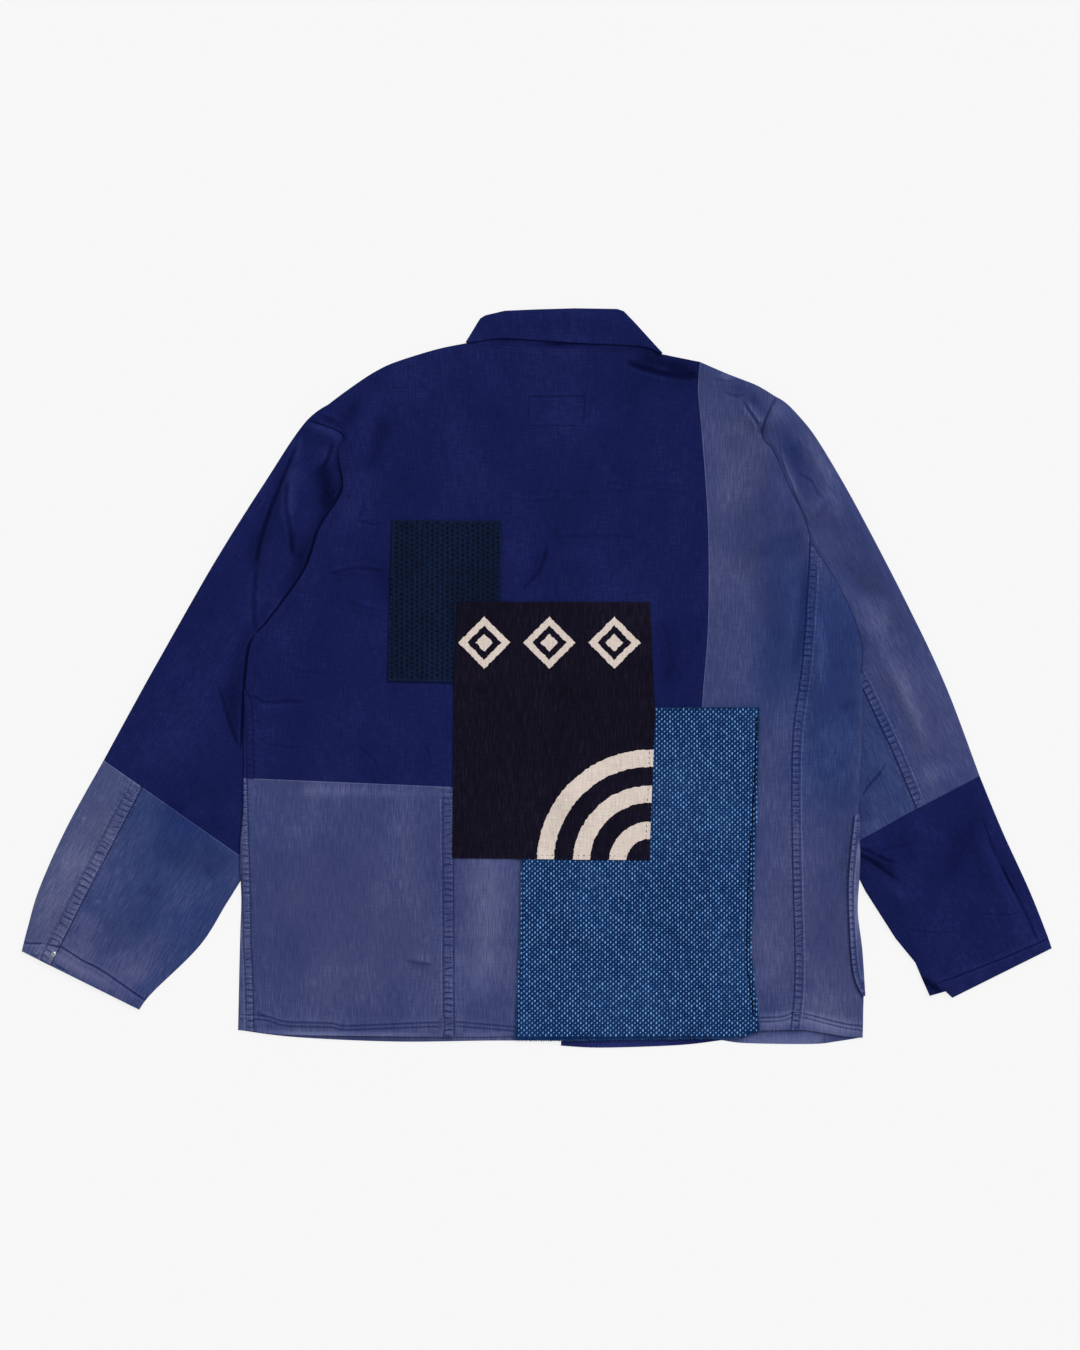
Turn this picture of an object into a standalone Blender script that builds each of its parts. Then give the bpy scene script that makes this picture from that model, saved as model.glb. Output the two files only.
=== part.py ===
# Patched work jacket, laid flat on its front with the back up.
# Metres, +Z up, +Y towards the collar, +X towards the wearer's right sleeve.
# The origin is on the floor, under the middle of the jacket's bounding box.
#
# The body is drawn as a plan: named lines, joined into the outline of each cut panel.
# One triangulated plan carries every panel, so panels that lie on each other share their points.
# Panels are stacked in sewing order. Each one lies a cloth gap above what is under it,
# and it sinks towards the floor, at a limited slope, where nothing holds it up.
import math

import bmesh
import bpy
import numpy as np
from mathutils import Vector
from mathutils.geometry import delaunay_2d_cdt

mm = 0.001

# driving sizes, in millimetres
cloth_wall = 1.2          # work cotton with its seam turnings
sashiko_wall = 1.6        # thick stitched patch cloth
noren_wall = 1.0          # plain-woven patch cloth
layer_gap = 0.3           # between cloth lying on cloth
seam_gap = 0.3            # between panels sewn edge to edge
tube_hollow = 0.4         # inside a flattened sleeve
fold_bulge = 0.5          # how far the inside of a folded edge stands out of its line
pocket_bulge = 2.1        # the same for the pocket, which is folded round the front's own fold
drape_slope = 0.07        # steepest fall of unsupported cloth, rise over run
rim_step = 34.0           # longest stretch between points on an outline
field_step = 36.0         # spacing of the points inside a panel
field_clear = 17.0        # how near those points come to an outline
merge_step = 0.02         # points nearer than this are one

front_overlap_left = 59.0    # x of the left front's edge, lying lowest
front_overlap_right = 24.0   # x of the right front's edge, lying over it
button_x = 41.0              # centre front
button_top_y = 228.0
button_pitch = 118.0
button_count = 5
button_radius = 8.5
button_height = 2.6
button_rim = 1.7             # width of the raised rim
button_dish = 0.7            # depth inside the rim
rivet_x, rivet_y = -483.0, -276.5
rivet_radius = 2.6
rivet_height = 1.2

tube_height = 2 * cloth_wall + tube_hollow

# corners shared by several lines: name, x, y
corners = {
    "neck_left": (-70.0, 334.5),
    "neck_right": (124.5, 323.6),
    "shoulder_split": (163.0, 315.8),
    "shoulder_tip_left": (-228.0, 257.5),
    "shoulder_tip_right": (238.5, 280.5),
    "armpit_left": (-291.0, -11.5),
    "armpit_right": (272.5, 136.5),
    "waist_left": (-291.0, -100.5),
    "waist_band": (-283.0, -101.0),
    "waist_mid": (-84.0, -109.5),
    "waist_right": (163.0, -112.0),
    "waist_front": (front_overlap_left, -111.0),
    "hem_left": (-298.0, -353.0),
    "hem_band": (-284.5, -353.8),
    "hem_mid": (-83.0, -359.5),
    "hem_split": (163.0, -354.5),
    "hem_side": (254.0, -352.5),
    "hem_right": (324.3, -360.3),
    "fold_top": (324.0, 5.0),
    "pocket_top": (319.2, -136.0),
    "pocket_low": (325.2, -318.5),
    "front_neck_left": (front_overlap_left, 250.0),
    "front_neck_right": (front_overlap_right, 247.0),
    "front_hem_left": (front_overlap_left, -364.0),
    "front_hem_right": (front_overlap_right, -368.5),
    "front_hem_seam": (185.0, -363.0),
}

# lines of the jacket as it lies: corner names at the ends, x and y between them
lines = {
    # the back's own edges and seams
    "neck_seam": ["neck_left", (-49, 333.5), (-14, 330.5), (36, 328.5), (85, 328.3), "neck_right"],
    "shoulder_left": ["neck_left", (-100, 328.5), (-141, 315.8), (-162, 306), (-182, 293), (-202, 278),
                      "shoulder_tip_left"],
    "shoulder_navy": ["neck_right", "shoulder_split"],
    "shoulder_right": ["shoulder_split", (189, 304.5), (219, 292.5), "shoulder_tip_right"],
    "armhole_left": ["shoulder_tip_left", (-194, 243.5), (-198, 222), (-194, 187.5), (-216, 150.5),
                     (-232, 106.5), (-266.5, 58.5), (-285, 34.5), "armpit_left"],
    "armhole_right": ["shoulder_tip_right", (224, 245.5), (248, 207.5), (265, 166), "armpit_right"],
    "crease_right": ["armpit_right", (300, 94.5), (317, 58.5), (325, 30), "fold_top"],
    "navy_seam": ["shoulder_split", (161, 287.5), (165, 242.5), (171, 150), (171, 53.5), (165, -30), "waist_right"],
    "hidden_seam": ["waist_right", "hem_split"],
    "waist_seam": ["waist_band", "waist_mid"],
    "waist_hidden": ["waist_mid", "waist_right"],
    "felled_seam": ["waist_mid", "hem_mid"],
    "side_seam": ["armpit_right", (272, 116.5), (269, 67.5), (265, 11.5), (257, -50), (255, -98.5),
                  (255.5, -175.5), (258, -294.5), "hem_side"],
    "back_hem_left": ["hem_band", (-247, -357.5), "hem_mid"],
    "back_hem_mid": ["hem_mid", (60, -358.5), "hem_split"],
    "back_hem_right": ["hem_split", "hem_side"],
    # the sides, where the fronts fold round onto the back
    "fold_left_upper": ["armpit_left", "waist_left"],
    "fold_left_lower": ["waist_left", (-296.5, -175.5), (-295, -262.5), "hem_left"],
    "band_upper": ["armpit_left", (-283, -45), "waist_band"],
    "band_lower": ["waist_band", (-286, -176), (-285, -262.5), "hem_band"],
    "waist_turn": ["waist_left", "waist_band"],
    "hem_turn_left": ["hem_left", "hem_band"],
    "fold_right_upper": ["fold_top", (322.8, -60), "pocket_top"],
    "fold_pocket": ["pocket_top", (319.5, -190), (317.7, -233.5), (322.2, -272.5), "pocket_low"],
    "fold_right_lower": ["pocket_low", "hem_right"],
    "hem_turn_right": ["hem_side", (267, -352.6), (286, -355.3), (308, -359), "hem_right"],
    # the fronts, under the back
    "front_neck_curve_left": ["neck_left", (-63, 300), (-30, 266), (10, 252), "front_neck_left"],
    "front_neck_curve_right": ["neck_right", (120, 292), (92, 262), (60, 250), "front_neck_right"],
    "front_edge_left_upper": ["front_neck_left", "waist_front"],
    "front_edge_left_lower": ["waist_front", "front_hem_left"],
    "front_edge_right": ["front_neck_right", "front_hem_right"],
    "waist_front_seam": ["waist_left", "waist_front"],
    "front_seam": ["shoulder_split", "front_hem_seam"],
    "front_hem_low": ["hem_left", (-241, -360), (-141, -364.4), (-40, -363.4), "front_hem_left"],
    "front_hem_navy": ["front_hem_right", (65, -370.5), (141, -368), "front_hem_seam"],
    "front_hem_side": ["front_hem_seam", (210, -366), (275, -366.8), (300, -364.2), "hem_right"],
    # the right front's patch pocket
    "pocket_mouth": ["pocket_top", (168, -136)],
    "pocket_inner": [(168, -136), (168, -300)],
    "pocket_corner": [(168, -300), (171.5, -318), (182, -328.5), (200, -332)],
    "pocket_bottom": [(200, -332), (300, -332), "pocket_low"],
    "pocket_lip": ["pocket_top", (316.8, -137.5)],
    "pocket_back_edge": [(316.8, -137.5), (312.6, -178), (311, -215), (313, -267.5), (317, -300), "pocket_low"],
    # the collar: rolled at its top edge, the fall over the stand
    "roll": ["neck_left", (-54.3, 359.4), (-32.5, 366), (2, 367.1), (38, 368.4), (82, 367.2), (98.6, 353),
             "neck_right"],
    "fall_edge": ["neck_left", (-45, 338.4), (-24, 338.9), (44, 334.4), (85, 332.5), (110, 330.2), "neck_right"],
    # its two ends, lying under the fronts
    "leaf_left": [(-84, 316), (-62, 256), (-36, 210), (34, 244), (22, 256), (-26, 278), (-54, 312), (-66, 338)],
    "leaf_right": [(140, 306), (118, 250), (94, 206), (50, 240), (60, 258), (92, 272), (112, 300), (122, 326)],
    # the patches
    "dark_sashiko": [(-145, 157.5), (-36, 156.5), (-38, -6), (-149, -3.5)],
    "blue_sashiko": [(-12, -30.5), (118, -30.5), (223, -29.5), (220, -127.5), (214, -272.5), (223, -353.5),
                     (204, -360.5), (3, -363), (-22, -362.5), (-17, -254.5)],
    "noren": [(-79, 75.5), (113, 75.5), (118, -37.5), (112, -182.5), (-85, -180.5), (-83, -1.5)],
}

# lines that run smoothly through their points; the others are straight from point to point
curved_lines = {
    "neck_seam", "shoulder_left", "shoulder_right", "armhole_left", "armhole_right", "crease_right", "navy_seam",
    "side_seam", "fold_left_lower", "fold_right_upper", "fold_pocket", "front_neck_curve_left",
    "front_neck_curve_right", "pocket_back_edge", "roll", "fall_edge",
}

# each sheet of cloth in the plan: its panel, the lines round it ("-" runs a line backwards),
# its place in the stack, the side that is outermost on the jacket, and its wall
sheets = [
    ("collar_end_left", ["leaf_left"], 0, "down", cloth_wall),
    ("collar_end_right", ["leaf_right"], 0, "down", cloth_wall),
    ("front_left_upper", ["front_neck_curve_left", "front_edge_left_upper", "-waist_front_seam",
                          "-fold_left_upper", "-armhole_left", "-shoulder_left"], 1, "down", cloth_wall),
    ("front_left_lower", ["waist_front_seam", "front_edge_left_lower", "-front_hem_low", "-fold_left_lower"],
     1, "down", cloth_wall),
    ("pocket_right", ["pocket_mouth", "pocket_inner", "pocket_corner", "pocket_bottom", "-fold_pocket"],
     1, "down", cloth_wall),
    ("front_right_centre", ["shoulder_navy", "front_seam", "-front_hem_navy", "-front_edge_right",
                            "-front_neck_curve_right"], 2, "down", cloth_wall),
    ("front_right_side", ["shoulder_right", "armhole_right", "crease_right", "fold_right_upper", "fold_pocket",
                          "fold_right_lower", "-front_hem_side", "-front_seam"], 2, "down", cloth_wall),
    ("front_left_upper", ["fold_left_upper", "waist_turn", "-band_upper"], 3, "up", cloth_wall),
    ("front_left_lower", ["fold_left_lower", "hem_turn_left", "-band_lower", "-waist_turn"], 3, "up", cloth_wall),
    ("front_right_side", ["crease_right", "fold_right_upper", "fold_pocket", "fold_right_lower",
                          "-hem_turn_right", "-side_seam"], 3, "up", cloth_wall),
    ("back_navy", ["neck_seam", "shoulder_navy", "navy_seam", "-waist_hidden", "-waist_seam", "-band_upper",
                   "-armhole_left", "-shoulder_left"], 3, "up", cloth_wall),
    ("back_lower_left", ["waist_seam", "felled_seam", "-back_hem_left", "-band_lower"], 3, "up", cloth_wall),
    ("back_lower_mid", ["waist_hidden", "hidden_seam", "-back_hem_mid", "-felled_seam"], 3, "up", cloth_wall),
    ("back_right", ["shoulder_right", "armhole_right", "side_seam", "-back_hem_right", "-hidden_seam",
                    "-navy_seam"], 3, "up", cloth_wall),
    ("collar", ["roll", "-neck_seam"], 3, "down", cloth_wall),
    ("collar", ["roll", "-fall_edge"], 4, "up", cloth_wall),
    ("pocket_right", ["pocket_lip", "pocket_back_edge", "-fold_pocket"], 4, "up", cloth_wall),
    ("patch_dark_sashiko", ["dark_sashiko"], 4, "up", sashiko_wall),
    ("patch_blue_sashiko", ["blue_sashiko"], 4, "up", sashiko_wall),
    ("patch_noren", ["noren"], 5, "up", noren_wall),
]
stack_levels = 6

# panels made of two sheets joined round a folded edge: the fold's lines, and how far its inside stands out
folds = {
    "front_left_upper": (["fold_left_upper"], fold_bulge),
    "front_left_lower": (["fold_left_lower"], fold_bulge),
    "front_right_side": (["fold_right_upper", "fold_pocket", "fold_right_lower"], fold_bulge),
    "collar": (["roll"], fold_bulge),
    "pocket_right": (["fold_pocket"], pocket_bulge),
}

# soft folds pressed into the upper cloth of the body: start x, y, end x, y, half width, height
body_ridges = [
    (-196, 196, -150, 292, 30, 1.8),
    (-262, 78, -170, 168, 34, 1.6),
    (230, 250, 262, 150, 26, 2.0),
    (96, 316, 160, 298, 22, 1.6),
    (226, 150, 232, -10, 30, 1.8),
    (-240, -130, -232, -330, 40, 1.2),
    (296, -60, 292, -250, 24, 1.2),
]

# sections of each sleeve from the armhole to the cuff, as it lies flat: outer edge x, y,
# inner (underarm) edge x, y, how far the section bows towards the body, and where a lengthwise seam
# crosses it, as a share of the width from the outer edge. The sections marked in a sleeve's pieces are its cross seams.
sleeves = {
    "left": {
        "columns": ("outer_x", "outer_y", "inner_x", "inner_y", "bow", "seam_share"),
        "sections": [
            (-200.0, 273.0, -240.0, 28.0, 28.0, 0.25),
            (-229.0, 256.0, -248.0, 10.0, 20.0, 0.25),
            (-274.0, 189.5, -262.0, -48.0, 6.0, 0.24),
            (-324.0, 109.5, -272.0, -96.0, 0.0, 0.23),
            (-381.0, 9.5, -281.0, -144.0, 0.0, 0.22),
            (-432.0, -83.5, -287.0, -185.0, 0.0, 0.254),
            (-469.0, -150.5, -312.0, -225.0, 0.0, 0.271),
            (-496.0, -210.5, -339.0, -267.5, 0.0, 0.264),
            (-508.0, -250.5, -386.0, -314.0, 0.0, 0.263),
            (-514.0, -274.5, -399.5, -331.5, 0.0, 0.239),
        ],
        "toward_body": 1.0,
        # piece name: first and last section, whole tube or the strip on one side of the lengthwise seam
        "pieces": {
            "sleeve_left_upper": (0, 5, "tube"),
            "sleeve_left_lower_outer": (5, 9, "outer"),
            "sleeve_left_lower_inner": (5, 9, "inner"),
        },
    },
    "right": {
        "columns": ("outer_x", "outer_y", "inner_x", "inner_y", "bow", "seam_share"),
        "sections": [
            (214.0, 286.5, 248.0, 48.0, 20.0, 0.52),
            (242.0, 277.5, 262.0, 30.0, 14.0, 0.52),
            (264.0, 257.0, 269.0, 14.0, 10.0, 0.52),
            (284.0, 229.5, 276.0, -2.0, 6.0, 0.52),
            (318.0, 170.5, 286.0, -52.0, 0.0, 0.53),
            (370.0, 70.5, 297.0, -104.0, 0.0, 0.534),
            (408.0, -10.5, 303.0, -140.0, 0.0, 0.497),
            (441.5, -99.5, 309.0, -171.0, 0.0, 0.458),
            (464.0, -154.0, 330.0, -213.0, 0.0, 0.46),
            (490.5, -212.0, 360.0, -260.0, 0.0, 0.46),
            (507.0, -253.0, 386.0, -297.0, 0.0, 0.46),
            (513.0, -272.0, 406.0, -322.0, 0.0, 0.46),
        ],
        "toward_body": -1.0,
        "pieces": {
            "sleeve_right_upper_outer": (0, 7, "outer"),
            "sleeve_right_upper_under": (0, 7, "inner"),
            "sleeve_right_lower": (7, 11, "tube"),
        },
    },
}
sleeve_columns = 10          # points across a flat sleeve, edge to edge
sleeve_bulge = 1.3           # how far a sleeve's cloth runs round its folded edge, within the section

# soft lengthwise folds on the sleeves' upper cloth: start x, y, end x, y, half width, height
sleeve_ridges = [
    (-240, 215, -330, 40, 22, 4.2),
    (-262, 120, -306, 20, 16, 3.2),
    (-360, 10, -430, -120, 24, 3.0),
    (-440, -190, -470, -262, 22, 2.6),
    (-370, -190, -410, -270, 22, 2.2),
    (300, 190, 352, 84, 22, 3.4),
    (350, 60, 396, -60, 24, 3.0),
    (448, -147, 496, -250, 18, 3.4),
    (352, -168, 392, -240, 22, 2.4),
]

# cloth and hardware colours, as linear red, green, blue, and roughness
navy = ((0.010, 0.013, 0.085), 0.85)
faded = ((0.055, 0.063, 0.165), 0.9)
faded_blue = ((0.026, 0.042, 0.130), 0.9)
dark_indigo = ((0.004, 0.008, 0.028), 0.9)
mid_indigo = ((0.018, 0.055, 0.155), 0.9)
noren_dark = ((0.007, 0.006, 0.016), 0.9)
horn_brown = ((0.020, 0.016, 0.030), 0.35)
nickel = ((0.45, 0.52, 0.55), 0.3)
finishes = {
    "collar_end_left": navy, "collar_end_right": navy, "collar": navy,
    "front_left_upper": navy, "front_left_lower": faded, "front_right_centre": navy, "front_right_side": faded,
    "back_navy": navy, "back_lower_left": faded, "back_lower_mid": faded, "back_right": faded,
    "pocket_right": faded, "patch_dark_sashiko": dark_indigo, "patch_blue_sashiko": mid_indigo,
    "patch_noren": noren_dark, "sleeve_left_upper": navy, "sleeve_left_lower_outer": faded,
    "sleeve_left_lower_inner": faded_blue, "sleeve_right_upper_outer": faded,
    "sleeve_right_upper_under": faded_blue, "sleeve_right_lower": navy,
}


def make_material(name, colour, roughness, metallic=0.0):
    material = bpy.data.materials.new(name)
    material.use_nodes = True
    shader = material.node_tree.nodes["Principled BSDF"]
    shader.inputs["Base Color"].default_value = (*colour, 1.0)
    shader.inputs["Roughness"].default_value = roughness
    shader.inputs["Metallic"].default_value = metallic
    return material


def add_object(name, mesh, finish, metallic=0.0):
    mesh.materials.append(make_material(name, finish[0], finish[1], metallic))
    item = bpy.data.objects.new(name, mesh)
    bpy.context.collection.objects.link(item)
    return item


# ---- plan lines and outlines ----

def catmull_rom(points, share, index):
    # point on the smooth curve through the points, between points[index] and the next one
    last = len(points) - 1
    a = points[max(index - 1, 0)]
    b = points[index]
    c = points[index + 1]
    d = points[min(index + 2, last)]
    return 0.5 * (2 * b + (c - a) * share + (2 * a - 5 * b + 4 * c - d) * share ** 2
                  + (3 * b - a - 3 * c + d) * share ** 3)


def line_points(name):
    # a line as an array of points, no two further apart than the rim step
    knots = [np.array(corners[p] if isinstance(p, str) else p, dtype=float) for p in lines[name]]
    curved = name in curved_lines
    result = [knots[0]]
    for index in range(len(knots) - 1):
        length = np.linalg.norm(knots[index + 1] - knots[index])
        step = rim_step * 0.7 if curved else rim_step
        count = max(1, math.ceil(length / step))
        for k in range(1, count + 1):
            share = k / count
            if curved:
                result.append(catmull_rom(knots, share, index))
            else:
                result.append(knots[index] + (knots[index + 1] - knots[index]) * share)
    return np.array(result)


def closed_outline(names):
    # the lines of an outline in order, without repeating the points where they meet
    stretches = []
    for name in names:
        points = line_points(name.lstrip("-"))
        stretches.append(points[::-1] if name.startswith("-") else points)
    outline = np.vstack(stretches)
    step = np.linalg.norm(np.roll(outline, -1, axis=0) - outline, axis=1)
    outline = outline[step > merge_step]
    if len(names) == 1:
        outline = subdivide_loop(outline)
    return outline


def subdivide_loop(loop):
    # extra points on the long sides of a patch
    result = []
    for index, start in enumerate(loop):
        end = loop[(index + 1) % len(loop)]
        count = max(1, math.ceil(np.linalg.norm(end - start) / rim_step))
        result += [start + (end - start) * k / count for k in range(count)]
    return np.array(result)


def inside(points, loop):
    # which of the points lie inside a closed outline
    x, y = points[:, 0:1], points[:, 1:2]
    ax, ay = loop[:, 0], loop[:, 1]
    bx, by = np.roll(ax, -1), np.roll(ay, -1)
    crosses = (ay > y) != (by > y)
    rise = np.where(by == ay, 1.0, by - ay)
    return (np.sum(crosses & (x < ax + (y - ay) * (bx - ax) / rise), axis=1) % 2) == 1


def distance_to_segments(points, starts, ends):
    # shortest distance from each point to a set of straight stretches
    run = ends - starts
    length2 = np.maximum(np.sum(run * run, axis=1), 1e-9)
    offset = points[:, None, :] - starts[None, :, :]
    share = np.clip(np.sum(offset * run[None], axis=2) / length2[None], 0.0, 1.0)
    return np.linalg.norm(offset - share[..., None] * run[None], axis=2).min(axis=1)


def ridge_height(points, ridges):
    # height of the soft folds at each point: full along the middle of a fold, gone at its width and ends
    height = np.zeros(len(points))
    for start_x, start_y, end_x, end_y, half_width, top in ridges:
        start = np.array((start_x, start_y), dtype=float)
        run = np.array((end_x, end_y), dtype=float) - start
        length = np.linalg.norm(run)
        along = (points - start) @ run / length ** 2
        across = np.abs((points - start) @ np.array((-run[1], run[0]))) / length
        side = np.clip(across / half_width, 0.0, 1.0)
        end = np.clip(np.abs(along - 0.5) * 2 - 0.3, 0.0, 0.9) / 0.9
        height += top * np.cos(side * math.pi / 2) ** 2 * np.cos(end * math.pi / 2) ** 2
    return height


# ---- sleeves ----

def sleeve_point(section, share, toward_body):
    # a point across one section of a flat sleeve, from its outer edge (0) to its inner edge (1)
    outer_x, outer_y, inner_x, inner_y, bow, _ = section
    outer = np.array((outer_x, outer_y))
    inner = np.array((inner_x, inner_y))
    along = (inner - outer) / np.linalg.norm(inner - outer)
    outer = outer + along * sleeve_bulge
    inner = inner - along * sleeve_bulge
    side = np.array((-along[1], along[0]))
    return outer + (inner - outer) * share + side * bow * 4 * share * (1 - share) * toward_body


def sleeve_outline(sleeve):
    # the flat sleeve's outline in the plan: its armhole end, then both edges
    turn = sleeve["toward_body"]
    sections = sleeve["sections"]
    head = [sleeve_point(sections[0], k / sleeve_columns, turn) for k in range(sleeve_columns + 1)]
    inner = [sleeve_point(section, 1.0, turn) for section in sections[1:]]
    outer = [sleeve_point(section, 0.0, turn) for section in reversed(sections[1:])]
    return np.array(head + inner + outer)


def sleeve_shares(seam_share, seam_column, strip):
    # places round one section: across the top cloth, round the fold, back across the bottom cloth.
    # Each is its share across and its side: 1 on the top cloth, -1 on the bottom, 0 at a folded edge.
    grid = [seam_share * k / seam_column for k in range(seam_column)]
    rest = sleeve_columns - seam_column
    grid += [seam_share + (1 - seam_share) * k / rest for k in range(rest + 1)]
    top = [(share, 1) for share in grid]
    low = [(share, -1) for share in grid]
    if strip == "tube":
        return top + [(1.0, 0)] + low[::-1] + [(0.0, 0)]
    if strip == "outer":
        return top[:seam_column + 1][::-1] + [(0.0, 0)] + low[:seam_column + 1]
    return top[seam_column:] + [(1.0, 0)] + low[seam_column:][::-1]


def build_sleeve_piece(name, sleeve, first, last, strip):
    sections = sleeve["sections"]
    turn = sleeve["toward_body"]
    seam_column = round(sleeve_columns * sum(section[5] for section in sections) / len(sections))
    outer_skin, inner_skin, count = [], [], 0
    for index in range(first, last + 1):
        section = sections[index]
        places = sleeve_shares(section[5], seam_column, strip)
        count = len(places)
        across = sleeve_point(section, 1.0, turn) - sleeve_point(section, 0.0, turn)
        across = across / np.linalg.norm(across)
        for share, side in places:
            spot = sleeve_point(section, share, turn)
            lift = ridge_height(spot[None, :], sleeve_ridges)[0]
            if side == 1:
                outer_skin.append((*spot, tube_height + lift))
                inner_skin.append((*spot, tube_height - cloth_wall + lift))
            elif side == -1:
                outer_skin.append((*spot, 0.0))
                inner_skin.append((*spot, cloth_wall))
            else:
                away = across if share > 0.5 else -across
                edge = spot + away * sleeve_bulge
                inner_edge = spot + away * (sleeve_bulge - cloth_wall)
                outer_skin.append((*edge, tube_height / 2))
                inner_skin.append((*inner_edge, tube_height / 2))
    rows = last - first + 1
    columns = count if strip == "tube" else count - 1
    faces = []
    for row in range(rows - 1):
        for column in range(columns):
            beside = (column + 1) % count
            a, b = row * count + column, row * count + beside
            c, d = a + count, b + count
            faces += [(a, c, d), (a, d, b)]
    return thicken(name, np.array(outer_skin), np.array(inner_skin), faces)


# ---- sheets made into closed solids ----

def boundary_edges(faces):
    # edges with a face on one side only, in that face's direction, with its third corner
    owners = {}
    for face in faces:
        for k in range(3):
            edge = (face[k], face[(k + 1) % 3])
            owners[edge] = face[(k + 2) % 3]
    return [(a, b, third) for (a, b), third in owners.items() if (b, a) not in owners]


def enclosed_volume(points, faces):
    a, b, c = (points[[face[k] for face in faces]] for k in range(3))
    return np.sum(a * np.cross(b, c)) / 6


def thicken(name, outer, inner, faces):
    # closes the space between an outer and an inner skin that share one set of faces,
    # and draws the open rim in, level, by half the seam gap
    middle = (outer + inner) / 2
    rim = boundary_edges(faces)
    pull = np.zeros_like(middle)
    for a, b, third in rim:
        along = middle[b] - middle[a]
        along = along / np.linalg.norm(along)
        inward = middle[third] - middle[a]
        inward = inward - along * (inward @ along)
        inward = inward / np.linalg.norm(inward)
        pull[a] += inward
        pull[b] += inward
    pull[:, 2] = 0.0
    length = np.linalg.norm(pull, axis=1)
    on_rim = length > 1e-6
    pull[on_rim] *= (seam_gap / 2 / length[on_rim])[:, None]
    shift = len(outer)
    points = np.vstack([outer + pull, inner + pull]) * mm
    solid_faces = [tuple(face) for face in faces]
    solid_faces += [tuple(k + shift for k in reversed(face)) for face in faces]
    for a, b, _ in rim:
        solid_faces += [(b, a, a + shift), (b, a + shift, b + shift)]
    if enclosed_volume(points, solid_faces) < 0:
        solid_faces = [face[::-1] for face in solid_faces]
    used = sorted({k for face in solid_faces for k in face})
    place = {old: new for new, old in enumerate(used)}
    mesh = bpy.data.meshes.new(name)
    mesh.from_pydata([tuple(points[k]) for k in used], [], [tuple(place[k] for k in face) for face in solid_faces])
    mesh.shade_smooth()
    mesh.set_sharp_from_angle(angle=math.radians(40))
    return add_object(name, mesh, finishes[name])


# ---- the plan of the body ----

def plan_outlines():
    outlines = [closed_outline(names) for _, names, _, _, _ in sheets]
    held = [sleeve_outline(sleeve) for sleeve in sleeves.values()]
    rings = []
    for row in range(button_count):
        centre = np.array((button_x, button_top_y - row * button_pitch))
        turns = np.arange(6) * math.pi / 3
        rings.append(centre + (button_radius + 1.0) * np.column_stack((np.cos(turns), np.sin(turns))))
    return outlines, held, rings


def make_plan(loops):
    # one triangulation through every outline, with loose points between them
    starts = np.vstack(loops)
    ends = np.vstack([np.roll(loop, -1, axis=0) for loop in loops])
    low, high = starts.min(axis=0), starts.max(axis=0)
    field = []
    row_step = field_step * math.sqrt(3) / 2
    for row in range(int((high[1] - low[1]) / row_step) + 1):
        for column in range(int((high[0] - low[0]) / field_step) + 1):
            field.append((low[0] + (column + 0.5 * (row % 2)) * field_step, low[1] + row * row_step))
    field = np.array(field)
    field = field[distance_to_segments(field, starts, ends) > field_clear]
    points = [Vector(p) for p in np.vstack([starts, field])]
    edges = []
    first = 0
    for loop in loops:
        edges += [(first + k, first + (k + 1) % len(loop)) for k in range(len(loop))]
        first += len(loop)
    plan = delaunay_2d_cdt(points, edges, [], 0, merge_step)
    return np.array([tuple(p) for p in plan[0]]), [tuple(face) for face in plan[2]]


def stack_sheets(points, faces, outlines, held, rings):
    # the underside height of every sheet at every plan point, from the floor up
    centres = points[np.array(faces)].mean(axis=1)
    triangles = np.array(faces)
    spans = np.linalg.norm(points[:, None, :] - points[None, :, :], axis=2) * drape_slope

    def covered(loop):
        mask = inside(centres, loop)
        return mask, np.unique(triangles[mask])

    support = np.zeros(len(points))
    for loop in held:
        _, corners_in = covered(loop)
        support[corners_in] = tube_height + layer_gap
    for loop in rings:
        _, corners_in = covered(loop)
        support[corners_in] = np.maximum(support[corners_in], button_height + layer_gap)
    lifts = ridge_height(points, body_ridges)
    placed = []
    for level in range(stack_levels):
        height = np.zeros(len(points)) if level == 0 else (support[None, :] - spans).max(axis=1)
        if level == 3:
            height = height + lifts
        for (name, _, order, face_side, wall), loop in zip(sheets, outlines):
            if order != level:
                continue
            mask, corners_in = covered(loop)
            placed.append((name, triangles[mask], face_side, wall, height.copy()))
            top = height[corners_in] + wall + layer_gap
            support[corners_in] = np.maximum(support[corners_in], top)
    return placed


def sheet_skins(points, height, wall, face_side):
    # outermost and inner skin of one sheet
    low = np.column_stack((points, height))
    high = np.column_stack((points, height + wall))
    return (high, low) if face_side == "up" else (low, high)


def oriented(points, triangles, face_side):
    # triangles turned so that they face the outermost side
    corners_xy = points[triangles]
    edge_a = corners_xy[:, 1] - corners_xy[:, 0]
    edge_b = corners_xy[:, 2] - corners_xy[:, 0]
    counter_clockwise = edge_a[:, 0] * edge_b[:, 1] - edge_a[:, 1] * edge_b[:, 0] > 0
    keep = counter_clockwise == (face_side == "up")
    return np.where(keep[:, None], triangles, triangles[:, ::-1])


def build_flat_panel(points, sheet):
    name, triangles, face_side, wall, height = sheet
    outer, inner = sheet_skins(points, height, wall, face_side)
    return thicken(name, outer, inner, [tuple(t) for t in oriented(points, triangles, face_side)])


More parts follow.
